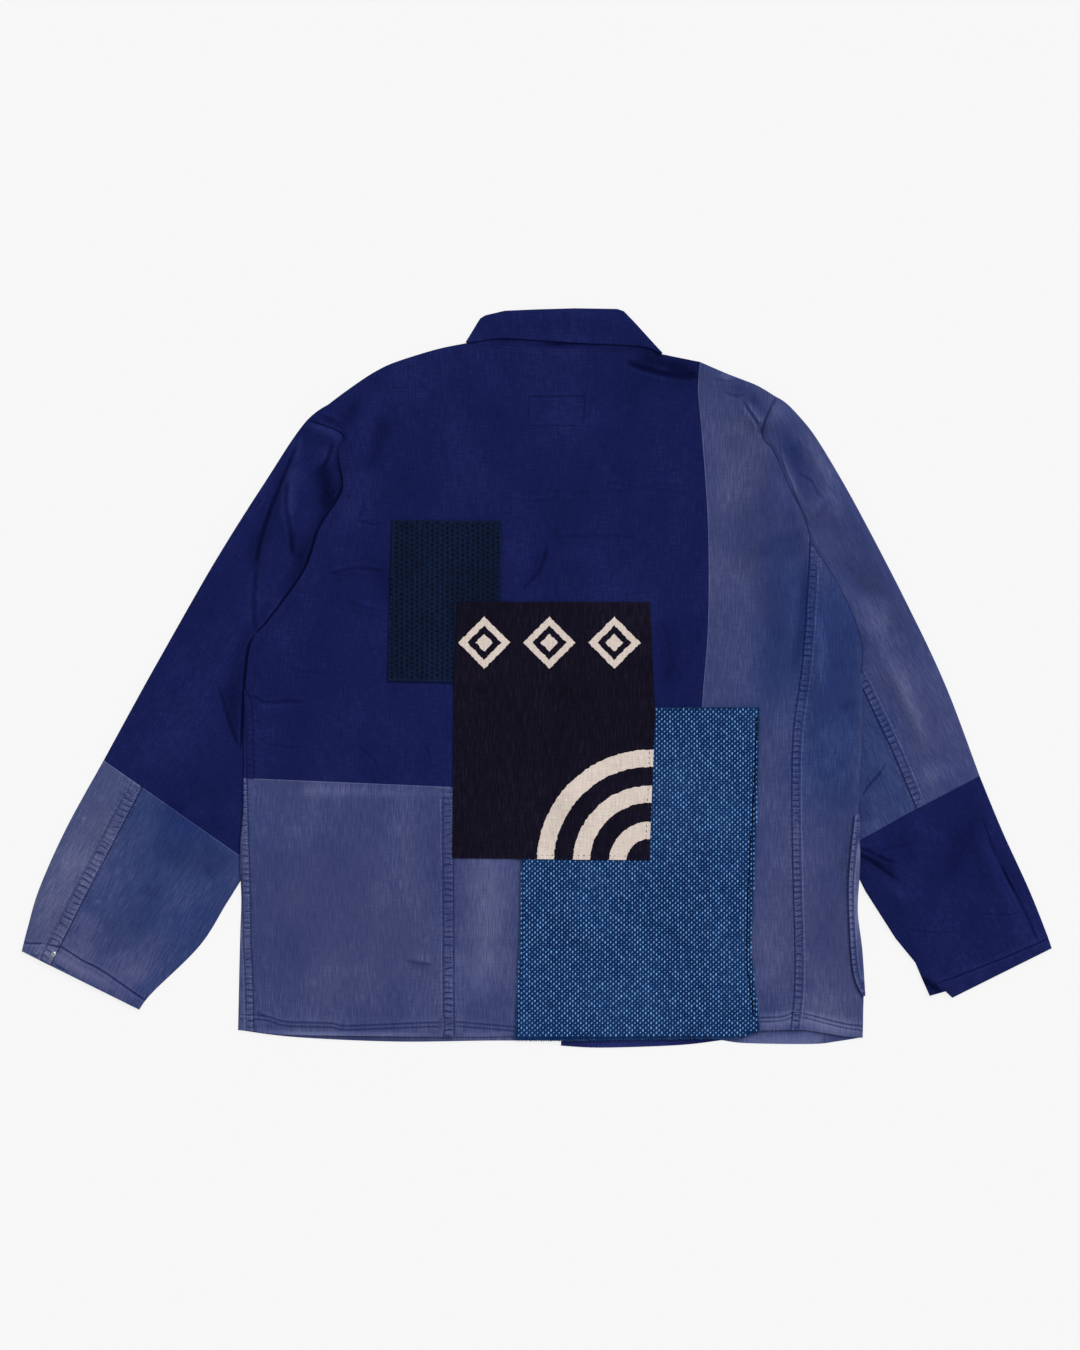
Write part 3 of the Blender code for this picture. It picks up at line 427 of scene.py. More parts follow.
# heights are worked out on a plan grid of the whole garment

gridStep = 2.0
gridX = np.arange(-540.0, 541.0, gridStep)
gridY = np.arange(-392.0, 393.0, gridStep)
levelCount = 7


def blur(field, passes):
    # softens a grid by a cell or two for each pass
    weights = (1 / 16, 4 / 16, 6 / 16, 4 / 16, 1 / 16)
    for _ in range(passes):
        for axis in (0, 1):
            field = sum(w * np.roll(field, k - 2, axis) for k, w in enumerate(weights))
    return field


def cone(field, slope):
    # the lowest surface over the field that falls no faster than the slope
    for axis, place in ((1, gridX[None, :]), (0, gridY[:, None])):
        ahead = np.maximum.accumulate(field + slope * place, axis=axis) - slope * place
        turned = np.flip(field - slope * place, axis=axis)
        behind = np.flip(np.maximum.accumulate(turned, axis=axis), axis=axis) + slope * place
        field = np.maximum(ahead, behind)
    return field


def drape(support, slope, passes):
    # how high cloth lies over what supports it: softened, and never below it
    laid = blur(cone(support, slope), passes)
    short = np.clip(support - laid, 0.0, None)
    for axis in (0, 1):
        short = np.maximum(short, np.maximum(np.roll(short, 2, axis), np.roll(short, -2, axis)))
    return np.maximum(laid + blur(short, 2), support)


def maskOf(loop):
    # the grid cells inside an outline
    mask = np.zeros((len(gridY), len(gridX)), dtype=bool)
    for row, y in enumerate(gridY):
        cuts = crossings(loop, y + 1e-6)
        for left, right in zip(cuts[::2], cuts[1::2]):
            mask[row] |= (gridX > left) & (gridX < right)
    return mask


def depthInside(mask):
    # how far each cell lies inside the mask
    return -cone(np.where(mask, -400.0, 0.0), 1.0)


def sample(field, points):
    column = np.clip((points[:, 0] - gridX[0]) / gridStep, 0, len(gridX) - 1.001)
    row = np.clip((points[:, 1] - gridY[0]) / gridStep, 0, len(gridY) - 1.001)
    c, r = column.astype(int), row.astype(int)
    u, v = column - c, row - r
    return ((1 - v) * ((1 - u) * field[r, c] + u * field[r, c + 1])
            + v * ((1 - u) * field[r + 1, c] + u * field[r + 1, c + 1]))


def softNoise(cell, seed):
    # smooth random hills about a cell wide, between -1 and 1
    rng = np.random.default_rng(seed)
    coarse = rng.uniform(-1, 1, (int(800 / cell) + 4, int(1100 / cell) + 4))
    y, x = (gridY - gridY[0]) / cell, (gridX - gridX[0]) / cell
    r, c = y.astype(int), x.astype(int)
    v = ((y - r) ** 2 * (3 - 2 * (y - r)))[:, None]
    u = ((x - c) ** 2 * (3 - 2 * (x - c)))[None, :]
    a, b = coarse[np.ix_(r, c)], coarse[np.ix_(r, c + 1)]
    p, q = coarse[np.ix_(r + 1, c)], coarse[np.ix_(r + 1, c + 1)]
    return (1 - v) * ((1 - u) * a + u * b) + v * ((1 - u) * p + u * q)


def stroke(field, path, halfWidth, amount):
    # a soft ridge or trough along a given path, dying away at both ends
    line = smoothPath(path, 3.0)
    reach = 2.4 * halfWidth
    rows = np.flatnonzero((gridY > line[:, 1].min() - reach) & (gridY < line[:, 1].max() + reach))
    columns = np.flatnonzero((gridX > line[:, 0].min() - reach) & (gridX < line[:, 0].max() + reach))
    if not len(rows) or not len(columns):
        return
    x, y = np.meshgrid(gridX[columns], gridY[rows])
    along, across, _ = nearestOnLine(np.column_stack([x.ravel(), y.ravel()]), line)
    total = lengthOf(line)
    fade = smoothStep(along, 0, 0.3 * total) * (1 - smoothStep(along, 0.7 * total, total))
    shape = amount * np.exp(-(across / halfWidth) ** 2) * fade
    field[np.ix_(rows, columns)] += shape.reshape(len(rows), len(columns))


# soft folds, by level: half width, height (minus is a trough), path
folds = {1: [
    # left sleeve
    (7, 2.2, [(-238, 246), (-222, 247), (-210, 240), (-203, 226)]),
    (17, -4.0, [(-205, 232), (-217, 205), (-218, 180), (-232, 146)]),
    (9, -3.4, [(-236, 240), (-254, 205), (-262, 177), (-272, 150), (-282, 122), (-285, 90), (-281, 60)]),
    (10, 2.6, [(-244, 222), (-245, 190), (-250, 150), (-248, 118)]),
    (7, -2.2, [(-243, 150), (-241, 128), (-239, 108)]),
    (13, 3.6, [(-262, 232), (-290, 176), (-320, 122), (-342, 60)]),
    (10, -3.0, [(-316, 2), (-306, -44), (-297, -76)]),
    (22, 3.0, [(-360, 30), (-400, -50), (-430, -120)]),
    (8, -1.8, [(-345, -10), (-372, -60), (-394, -98)]),
    (18, 2.6, [(-440, -180), (-458, -225), (-470, -262)]),
    (16, 2.4, [(-370, -190), (-392, -232), (-410, -275)]),
    (6, -2.0, [(-345, -170), (-372, -214), (-396, -262)]),
    # right sleeve
    (6, 3.4, [(243, 275), (237, 262), (231, 248)]),
    (20, -3.6, [(244, 232), (262, 202), (280, 176)]),
    (9, 3.4, [(270, 160), (284, 168), (296, 184)]),
    (16, 3.2, [(286, 214), (318, 158), (348, 96), (372, 40)]),
    (12, -3.0, [(292, 130), (320, 96), (346, 52), (360, 10)]),
    (12, 3.4, [(341, 84), (340, 56), (334, 28)]),
    (9, 3.2, [(351, 26), (372, -24), (395, -84)]),
    (6, -1.8, [(322, -122), (334, -106), (346, -92)]),
    (22, 2.6, [(360, 60), (386, 0), (406, -60)]),
    (7, 3.2, [(322, -173), (342, -180), (364, -187)]),
    (6, -2.6, [(344, -170), (358, -168), (374, -164)]),
    (9, -3.0, [(444, -140), (472, -200), (502, -266)]),
    (11, 3.0, [(434, -146), (460, -204), (486, -256)]),
    (16, 2.4, [(352, -190), (376, -225), (398, -262)]),
], 4: [
    # back and sides
    (16, 2.6, [(-196, 196), (-170, 250), (-150, 292)]),
    (8, -2.6, [(-154, 268), (-156, 240), (-163, 216), (-174, 196)]),
    (9, -2.2, [(-176, 282), (-188, 262), (-196, 246)]),
    (7, 1.8, [(-194, 226), (-190, 200), (-192, 178)]),
    (14, 1.8, [(-262, 78), (-215, 120), (-170, 168)]),
    (5, 1.8, [(-208, 104), (-190, 107), (-173, 108)]),
    (5, 1.6, [(-187, 74), (-168, 68), (-148, 64)]),
    (5, -1.6, [(-290, -22), (-269, -25), (-232, -24)]),
    (12, 1.6, [(96, 312), (126, 303), (160, 294)]),
    (10, -2.6, [(84, 322), (124, 317), (170, 309)]),
    (9, 2.6, [(206, 275), (216, 258), (228, 240)]),
    (8, -2.2, [(212, 282), (222, 272), (230, 262)]),
    (8, -1.6, [(172, 282), (190, 284), (206, 284)]),
    (22, 1.8, [(222, 170), (230, 80), (232, -10)]),
    (9, -2.2, [(258, 150), (264, 110), (262, 60), (257, 0)]),
    (6, 1.0, [(17, 134), (13, 112), (3, 92)]),
    (6, -0.9, [(3, 134), (-1, 116), (-9, 102), (-20, 88)]),
    (5, 1.6, [(-130, -282), (-117, -284), (-104, -286)]),
    (24, 1.2, [(-240, -130), (-236, -230), (-232, -330)]),
    (12, 1.6, [(325, -12), (325, -60), (322, -130)]),
    (8, -1.6, [(300, -40), (302, -140), (300, -240)]),
    (8, -2.0, [(292, 20), (306, -20), (318, -80)]),
    (6, 1.6, [(277, 60), (283, 20), (280, -30)]),
], 5: [
    # collar
    (10, 2.6, [(-58, 345), (-30, 356), (10, 358), (60, 358), (92, 348), (104, 338)]),
    (7, -1.6, [(30, 368), (31, 352), (31, 334)]),
]}

# painted light and shade along folds, edges and under the collar, and paler worn hems, by level: half width,
# amount (minus is darker), path
wearAndShadeStrokes = {1: [
    # left sleeve
    (2.2, -0.5, [(-196, 206), (-196, 194), (-200, 182), (-219, 150), (-234, 108), (-268, 60)]),
    (2.2, -0.4, [(-262, 68), (-284, 40), (-292, 18), (-296, -20), (-294, -70)]),
    (5, -0.35, [(-198, 212), (-197, 196), (-204, 180), (-223, 148), (-240, 108), (-266, 72)]),
    (6, -0.3, [(-258, 82), (-284, 50), (-298, 20), (-302, -20), (-300, -70)]),
    (9, -0.65, [(-208, 222), (-214, 206), (-210, 186), (-218, 164)]),
    (4, 0.3, [(-236, 252), (-216, 249), (-201, 241), (-201, 228)]),
    (6, 0.25, [(-237, 244), (-240, 230), (-236, 214)]),
    (6, -0.4, [(-238, 238), (-254, 205), (-263, 177), (-273, 150), (-282, 122), (-285, 90)]),
    (5, -0.3, [(-243, 150), (-241, 128), (-239, 108)]),
    (7, 0.3, [(-244, 222), (-246, 190), (-252, 150)]),
    (7, 0.25, [(-212, 236), (-214, 222), (-222, 208)]),
    (7, -0.3, [(-316, 2), (-306, -44), (-297, -76)]),
    (14, -0.24, [(-296, -150), (-340, -148), (-388, -120)]),
    (20, -0.25, [(-330, -170), (-366, -180), (-396, -160)]),
    (16, 0.25, [(-430, -270), (-410, -290), (-390, -310)]),
    (14, -0.3, [(-376, -200), (-390, -240), (-396, -270)]),
    (14, 0.16, [(-455, -150), (-480, -210), (-500, -262)]),
    (20, 0.3, [(-440, -228), (-452, -252), (-452, -290)]),
    (12, 0.22, [(-494, -262), (-470, -276), (-440, -296), (-404, -314)]),
    (16, -0.14, [(-378, -190), (-350, -172), (-320, -164)]),
    (6, 0.35, [(-516, -270), (-486, -276), (-450, -296), (-400, -328)]),
    (15, -0.4, [(-318, -158), (-324, -184), (-336, -206)]),
    (12, -0.25, [(-372, -192), (-380, -208), (-388, -224)]),
    (14, 0.2, [(-352, -124), (-340, -138), (-324, -146)]),
    (2.4, 0.9, [(-454, -139), (-453, -142)]),
    (2.4, 0.8, [(-439, -223), (-438, -226)]),
    (30, 0.14, [(-310, 20), (-350, -50), (-380, -110)]),
    # right sleeve
    (9, -0.45, [(236, 250), (254, 228), (262, 206), (272, 184), (282, 172)]),
    (7, 0.35, [(262, 250), (284, 218), (302, 184)]),
    (20, -0.25, [(238, 262), (256, 232), (272, 200)]),
    (18, -0.12, [(266, 204), (282, 176)]),
    (3, -0.35, [(274, 156), (284, 166), (294, 182)]),
    (7, 0.2, [(234, 276), (240, 262), (238, 250)]),
    (2, 0.5, [(237, 246), (243, 228), (250, 208), (258, 190), (266, 170)]),
    (12, 0.14, [(322, 104), (332, 84), (344, 40), (346, 4)]),
    (10, -0.2, [(298, 164), (308, 152), (316, 140)]),
    (60, 0.12, [(352, -200), (440, -230)]),
    (12, -0.35, [(318, -120), (324, -134), (326, -148)]),
    (9, -0.3, [(300, 190), (330, 130), (362, 68), (396, 0)]),
    (7, 0.35, [(290, 184), (304, 160), (322, 128)]),
    (9, -0.3, [(296, 128), (318, 100), (338, 76)]),
    (14, 0.1, [(341, 84), (341, 56), (334, 30)]),
    (6, 0.28, [(351, 26), (372, -24), (395, -84)]),
    (5, 0.2, [(340, 40), (362, -10), (384, -60)]),
    (14, -0.3, [(286, 180), (302, 150), (320, 120)]),
    (10, 0.3, [(380, -90), (400, -96), (424, -92)]),
    (5, -0.2, [(322, -122), (334, -106), (346, -92)]),
    (3, -0.2, [(450, -150), (474, -200), (502, -266)]),
    (6, -0.3, [(326, -170), (342, -178), (362, -182)]),
    (5, -0.25, [(316, -176), (332, -182), (348, -192), (366, -206)]),
    (7, 0.2, [(340, -196), (360, -212), (372, -228)]),
    (16, -0.15, [(428, -130), (414, -176), (398, -216), (396, -250)]),
    (3, -1.0, [(380, -298), (394, -308), (412, -322)]),
    (14, -0.1, [(384, 0), (400, -84)]),
    (14, -0.25, [(452, -110), (430, -160), (404, -215)]),
], 2: [
    # left front's hem
    (4, -0.5, [(-280, -356), (-240, -360), (-140, -364), (-40, -363)]),
], 3: [
    # right front's hem
    (8, 0.5, [(0, -366), (90, -369), (160, -368)]),
    (9, 0.9, [(190, -364), (240, -366), (300, -362)]),
], 4: [
    # back and sides
    (5, -0.35, [(303, -33), (312, -27), (320, -20)]),
    (4, -0.35, [(-130, -285), (-117, -287), (-104, -289)]),
    (9, -0.5, [(86, 321), (112, 316), (140, 309), (170, 303)]),
    (9, -0.3, [(124, 312), (146, 304), (166, 296)]),
    (1.4, -1.0, [(-74, 334), (-45, 336.6), (-24, 337), (44, 332.6), (85, 330.4), (110, 328), (130, 322)]),
    (7, -0.35, [(-155, 268), (-157, 240), (-164, 216), (-174, 198)]),
    (7, -0.35, [(-177, 280), (-188, 262), (-195, 248)]),
    (12, -0.25, [(-172, 110), (-150, 100), (-140, 60)]),
    (6, -0.2, [(8, 134), (3, 112), (-7, 97), (-16, 84)]),
    (10, -0.25, [(120, 66), (134, 30), (130, -20)]),
    (16, -0.25, [(238, 150), (242, 90), (238, 20), (234, -60)]),
    (5, -0.7, [(266, 136), (268, 100), (264, 50), (255, -10)]),
    (18, 0.12, [(196, 280), (200, 210), (190, 140)]),
    (16, -0.25, [(222, 150), (246, 130), (258, 110)]),
    (10, -0.25, [(184, 238), (200, 230), (208, 218)]),
    (34, -0.15, [(190, 178), (214, 146), (240, 112)]),
    (7, -0.2, [(222, 206), (228, 176), (230, 144)]),
    (5, -0.3, [(250, 176), (256, 156), (262, 132)]),
    (5, 0.25, [(238, 206), (246, 184), (252, 160)]),
    (70, -0.12, [(-240, -150), (-180, -300)]),
    (10, -0.25, [(262, 176), (266, 150), (264, 120)]),
    (12, 0.2, [(258, 74), (262, 40), (262, 4)]),
    (9, 0.3, [(180, 304), (192, 300), (204, 296)]),
    (16, -0.22, [(190, -40), (216, -44), (240, -46)]),
    (7, -0.35, [(178, 288), (196, 291), (216, 284), (232, 270)]),
    (6, -0.5, [(210, 284), (220, 272), (228, 258)]),
    (12, -0.25, [(222, 232), (246, 190), (262, 150)]),
    (22, 0.08, [(206, -60), (236, -180), (238, -330)]),
    (20, -0.15, [(300, 70), (294, 0), (290, -60)]),
    (5, 0.3, [(280, 66), (284, 30), (282, -20)]),
    (20, -0.3, [(290, -182), (290, -240), (292, -300)]),
    (9, 0.7, [(196, -346), (244, -344), (262, -340), (300, -350), (346, -356)]),
    (14, 0.2, [(224, -310), (262, -322), (320, -332)]),
    (22, 0.3, [(-52, -120), (-50, -220), (-50, -340)]),
    (26, -0.15, [(-190, -150), (-196, -220), (-188, -300)]),
    (8, -0.15, [(-304, -340), (-280, -345), (-250, -350), (-180, -354), (-90, -356)]),
    (24, -0.2, [(-284, -104), (-218, -108)]),
    (26, 0.15, [(-76, -268), (-72, -330)]),
    (14, 0.12, [(222, -286), (222, -318)]),
    (20, -0.14, [(190, -50), (194, -110)]),
    (14, -0.15, [(250, 150), (254, 118)]),
    (6, 0.3, [(-270, -112), (-180, -114), (-96, -116)]),
    (2.4, 1.0, [(-296, -352), (-283, -352.4), (-247, -356), (-165, -357.4), (-84, -358)]),
    (2.2, 0.7, [(-82, -358), (-50, -357.8), (-24, -357.8)]),
    (22, 0.15, [(298, -36), (298, -126)]),
    (14, -0.2, [(180, -310), (188, -340)]),
], 5: [
    # pocket
    (13, 0.35, [(320, -100), (320, -150), (320, -200), (323, -250), (334, -304)]),
]}

# where the dye has kept its blue, by level: half width, amount (minus is greyer), path
blueStrokes = {1: [
    # left sleeve
    (26, 1.0, [(-300, -150), (-346, -150), (-390, -130)]),
    (22, 0.6, [(-330, -190), (-352, -230), (-372, -270)]),
    (22, -0.7, [(-390, -250), (-410, -280), (-424, -310)]),
    (34, -1.1, [(-416, -300), (-440, -262), (-510, -270)]),
    (26, -0.8, [(-420, -130), (-440, -180), (-452, -220)]),
    # right sleeve
    (16, 0.1, [(240, 262), (266, 214), (290, 180)]),
    (14, 0.5, [(300, 128), (322, 96), (344, 52)]),
    (26, 0.7, [(324, -20), (340, -70), (352, -116)]),
    (14, -0.8, [(356, 20), (380, -36), (404, -92)]),
], 4: [
    # back and sides
    (30, 0.9, [(240, 160), (246, 100), (240, 20), (228, -70)]),
    (30, 0.5, [(200, 190), (214, 150), (206, 110)]),
    (26, -0.6, [(196, 290), (200, 220), (190, 130), (188, 60)]),
    (34, 1.7, [(316, 150), (304, 80), (298, 0), (292, -90), (290, -170)]),
    (26, -0.7, [(232, -160), (236, -240), (238, -330)]),
    (30, -0.9, [(290, -200), (292, -270), (296, -370)]),
    (60, -0.8, [(-240, -160), (-180, -240), (-120, -330)]),
    (30, -0.6, [(-52, -160), (-50, -260), (-48, -330)]),
], 5: [
    # pocket
    (15, -0.8, [(326, -150), (320, -200), (323, -250), (334, -304)]),
]}

# sharp creases and pressed edges, by piece: half width, depth, darkness of the painted shade in the trough,
# path
creases = {"back_navy": [
    (1.6, 0.5, 0.3, [(-292, -20.5), (-281, -20.5), (-273, -24.5), (-261, -24.9), (-245, -24), (-228, -26)]),
    (1.8, 0.5, 0.25, [(-214, 101), (-200, 105), (-186, 109), (-168, 108), (-150, 105)]),
    (1.8, 0.4, 0.22, [(-192, 77), (-172, 70), (-150, 65)]),
    (2.8, 0.5, 0.3, [(-220, 261), (-208, 257), (-196, 250), (-192, 243), (-192, 228)]),
    (1.6, 0.4, 0.25, [(-173, 181), (-174, 167), (-178, 157), (-167, 154)]),
    (1.4, 0.4, 0.22, [(-176, 157), (-164, 153), (-150, 155)]),
    (1.6, 0.4, 0.3, [(10, 136), (8, 122), (2, 106), (-8, 95), (-17, 84)]),
    (1.3, 0.3, 0.16, [(19, 100), (18, 80)]),
    (2.6, 1.2, 0.6, [(86, 318), (100, 311.5), (116, 306), (134, 301.8), (150, 301), (164, 303)]),
    (1.0, 0.4, 0.8, [(-44, 331.5), (-14, 328.3), (36, 326.3), (85, 326.2), (112, 323.5)]),
    (1.6, 0.25, 0.14, [(14, 140), (50, 141), (86, 141), (104, 139)]),
    (1.7, 0.22, 0.1, [(60, 198), (84, 192), (104, 190), (124, 193), (150, 190)]),
    (1.4, 0.3, 0.15, [(-30, 182), (-8, 176), (20, 178)]),
    (1.4, 0.35, 0.2, [(-132, 32), (-118, 28), (-100, 26), (-84, 29)]),
    (1.4, 0.35, 0.15, [(-284, -56), (-270, -66), (-252, -70), (-230, -70)]),
    (1.8, 0.3, 0.1, [(-264, 22), (-250, 12), (-236, 6), (-206, 4)]),
    (1.4, 0.3, 0.15, [(-184, -66), (-168, -78), (-156, -92)]),
    (1.4, 0.3, 0.18, [(-120, -60), (-110, -72), (-106, -90)]),
    (1.5, 0.3, 0.1, [(120, 66), (130, 40), (134, 10)]),
    (2.0, 0.22, 0.08, [(-20, 182), (14, 186), (60, 184), (110, 188), (150, 184)]),
    (1.1, 0.2, 0.2, [(-8, 252), (-8.5, 266), (-8, 280), (4, 280.5), (24, 281), (46, 281), (47.2, 279),
     (47.5, 268), (47, 253)]),
    (1.1, 0.15, 0.1, [(-4, 252), (20, 251.5), (44, 252)]),
], "back_right": [
    (1.4, 0.6, 1.2, [(205, 279), (209, 271.5), (214, 263.5), (219, 255.5), (224.5, 246), (230, 238)]),
    (1.4, 0.4, 0.35, [(186, 287), (197, 281.5), (210, 282.5)]),
    (1.6, 0.4, 0.25, [(172, 300), (186, 296), (204, 297)]),
], "back_lower_left": [
    (1.5, 0.4, 0.3, [(-134, -283.5), (-119, -285.5), (-101, -289)]),
    (1.6, 0.5, 0.4, [(-284, -333), (-277, -337), (-270, -340)]),
    (1.2, 0.3, 0.5, [(-151, -361), (-150, -357)]),
], "sleeve_left_upper": [
    (1.2, 0.4, 1.3, [(-195, 190), (-204, 171), (-218, 150), (-225, 130), (-233.5, 106), (-250, 82),
     (-268, 58), (-286.5, 34), (-291, 12), (-293, -12), (-294.5, -40), (-296, -74)]),
    (1.8, 0.8, 0.45, [(-204, 236), (-209, 219), (-217, 206)]),
    (2.2, 0.8, 0.4, [(-250, 200), (-251, 171), (-247, 148), (-244, 118)]),
    (1.8, 0.6, 0.45, [(-240, 237), (-259, 188), (-275, 143), (-282, 108)]),
    (2.2, 0.6, 0.35, [(-281, 112), (-283, 77), (-282, 45)]),
    (1.6, 0.5, 0.35, [(-214, 190), (-210, 182), (-207, 177)]),
    (1.6, 0.5, 0.3, [(-320, -4), (-312, -30), (-306, -50), (-296, -74)]),
], "sleeve_right_upper_under": [
    (1.4, 0.7, 0.5, [(300, 94.5), (307, 80), (317, 58.5), (324, 42), (327, 24)]),
    (1.2, 0.4, 0.5, [(322, -124), (330.5, -110), (343, -95), (350, -81)]),
], "sleeve_right_upper_outer": [
    (1.6, 0.6, 0.4, [(262, 204), (274, 196), (280, 184), (286, 178)]),
    (1.0, 0.4, 0.4, [(240, 241), (246, 212), (253, 196), (257, 184), (264, 167)]),
], "sleeve_right_lower": [
    (1.6, 0.7, 0.35, [(314, -170), (330, -173), (344, -180), (362, -187)]),
    (1.6, 0.4, 0.25, [(340, -174), (356, -170), (372, -167)]),
    (1.3, 0.7, 0.25, [(444, -138), (454, -166), (466, -192), (480, -220)]),
    (1.3, 0.6, 0.3, [(462, -186), (470, -200), (486, -230), (498, -256), (504, -268)]),
    (1.9, 0.6, 0.35, [(312, -174), (324, -179), (336, -185), (350, -195), (364, -206)]),
    (1.2, 0.25, 0.12, [(368, -252), (398, -255), (424, -254)]),
    (1.2, 0.3, 0.15, [(490, -232), (470, -237), (440, -236)]),
], "collar": [
    (2.6, 0.5, 0.16, [(28, 366), (29, 354), (30, 340)]),
], "sleeve_left_lower_outer": [
    (0.9, 0.5, 1.1, [(-490, -266), (-483, -266.6), (-475, -268)]),
    (0.8, 0.4, 0.9, [(-489.5, -266), (-486, -281)]),
    (0.8, 0.4, 0.9, [(-475.5, -268), (-479, -283)]),
    (1.0, 0.4, 0.8, [(-507, -275.5), (-490, -284)]),
], "patch_blue_sashiko": [
    (2.0, 0.3, 0.8, [(-10.4, -36), (-15.3, -254), (-20.4, -361)]),
    (1.4, 0.3, 0.6, [(-18, -361.3), (3, -361.8), (203, -359.3)]),
    (2.0, 0.3, 0.7, [(221.3, -34), (218.3, -128), (212.4, -272), (221, -352)]),
], "sleeve_left_lower_inner": [
    (1.0, 0.4, 0.7, [(-484, -286.5), (-468, -294.5)]),
]}

# lines of hem stitching sink into the cloth: pieces, depth, darkness of the painted shade in the sunk line,
# whether a second row runs below, path
hemRow = {"gap": 4.2, "halfWidth": 0.9, "secondDark": 0.7}
hemLines = [
    (["sleeve_right_lower"], 0.4, 0.45, False, [(396, -308), (415, -300.5), (460, -283), (504, -264.5),
     (516, -259)]),
    (["sleeve_left_lower_outer", "sleeve_left_lower_inner"], 0.5, 0.95, False, [(-526, -264),
     (-510, -265.5), (-487, -266.5), (-474, -270.5), (-454, -283), (-434, -293.5), (-394, -321.5),
     (-382, -329)]),
    (["back_lower_left", "front_left_lower"], 0.4, 0.55, True, [(-312, -336), (-297, -337), (-284, -337.3),
     (-269, -339.2), (-250, -344.5), (-207, -345.9), (-193, -348.5), (-150, -347), (-89, -344.5),
     (-74, -344)]),
    (["back_lower_mid"], 0.4, 0.45, True, [(-96, -344), (-83, -344.5), (-24, -349.5), (-8, -350)]),
    (["back_right"], 0.4, 0.6, True, [(190, -342), (200, -341), (243, -339.5), (254, -335.8), (264, -334)]),
    (["front_right_side"], 0.4, 0.7, True, [(244, -336), (256, -335.2), (259, -334.5), (270, -336.8),
     (286, -341.2), (308, -346.5), (326, -348.8), (340, -350)]),
]
for pieces, depth, dark, doubled, path in hemLines:
    second = [(x, y - hemRow["gap"]) for x, y in path]
    for name in pieces:
        sunk = creases.setdefault(name, [])
        sunk.append((hemRow["halfWidth"], depth, dark, path))
        if doubled:
            sunk.append((hemRow["halfWidth"], depth, hemRow["secondDark"] * dark, second))

# how fast and how softly cloth falls off what is under it, and how far sleeves and back swell up from their
# edges; hills are the height, size and seed of the unevenness
draping = {"slope": 0.22, "passes": 3, "sleeveLoft": 4.2, "sleeveReach": 20.0, "sleeveWaves": 0.7,
           "backLoft": 1.8, "backReach": 30.0, "hills": [(0.35, 46.0, 3), (0.16, 17.0, 5)]}


def showing(name):
    piece = clothPieces[name]
    return [k for k in ("low", "high") if k in piece]


loops = {}
for name, piece in clothPieces.items():
    step = piece.get("step", cloth["showStep"]) if "high" in piece else cloth["hiddenStep"]
    for side in showing(name):
        loops[name, side] = loopOf(piece[side][1], step)

support = np.zeros((len(gridY), len(gridX)))
buttons = {"x": 41.0, "topY": 228.0, "pitch": 118.0, "count": 5, "radius": 8.5, "height": 2.6}
for k in range(buttons["count"]):
    far = np.hypot(gridX[None, :] - buttons["x"], gridY[:, None] - buttons["topY"] + k * buttons["pitch"])
    support[far < buttons["radius"] + 1] = buttons["height"] + cloth["gap"]

heights, wearAndShadeFields, blues = [], [], []
waves = sum(size * softNoise(cell, seed) for size, cell, seed in draping["hills"])
for level in range(levelCount):
    here = [(key, clothPieces[key[0]]) for key in loops if clothPieces[key[0]][key[1]][0] == level]
    masks = [maskOf(loops[key][0]) for key, _ in here]
    laid = drape(support, draping["slope"], draping["passes"]) if level else np.zeros_like(support)
    if level == 1:  # the sleeves, which are hollow tubes
        depth = depthInside(np.any([m for m, (key, _) in zip(masks, here) if "sleeve" in key[0]], axis=0))
        loft = draping["sleeveLoft"] * (1 - np.exp(-depth / draping["sleeveReach"]))
        loft *= 1 + draping["sleeveWaves"] * waves
        laid = blur(laid + cloth["tubeHollow"] + loft, 1)
    if level == 4:  # the back, which is one sheet
        depth = depthInside(np.any(masks, axis=0))
        loft = draping["backLoft"] * (1 - np.exp(-depth / draping["backReach"])) * (1 + waves)
        laid = blur(laid + loft, 1)
    # each level gets a field of painted light and shade mixed with wear, and one of blue dye
    wear, blue = np.zeros_like(support), np.zeros_like(support)
    for field, strokes in ((laid, folds), (wear, wearAndShadeStrokes), (blue, blueStrokes)):
        for halfWidth, amount, path in strokes.get(level, []):
            stroke(field, path, halfWidth, amount)
    laid = np.maximum(laid, support)
    heights.append(laid)
    wearAndShadeFields.append(wear)
    blues.append(blue)
    for mask, (key, piece) in zip(masks, here):
        top = laid + piece.get("wall", cloth["wall"]) + cloth["gap"]
        support = np.where(mask, np.maximum(support, top), support)
# outside the body's outline a sleeve rises to meet the back where the two are sewn together:
# half width, how far outside the outline the rise starts, path
sewnPaths = [(13, -3.0, [(-250, 272), (-228, 260), (-212, 252), (-198, 243), (-190, 230), (-186, 220)]),
             (22, 0.5, [(250, 320), (238, 282), (224, 248), (247, 208), (264, 168), (272, 134), (276, 96)])]
backPieces = ("back_navy", "back_right", "front_right_side")
body = np.any([maskOf(loops[name, "high"][0]) for name in backPieces], axis=0)
outside = depthInside(~body)
rise = np.zeros_like(support)
for halfWidth, groove, path in sewnPaths:
    meet = np.zeros_like(support)
    stroke(meet, path, halfWidth, 1.3)
    rise = np.maximum(rise, np.clip(meet, 0, 1) * smoothStep(outside, groove, groove + 3.0) * ~body)
heights[1] += blur(rise, 1) * np.maximum(heights[4] - heights[1], 0)
print("heights ready, highest cloth", round(float(support.max()), 1), "mm")


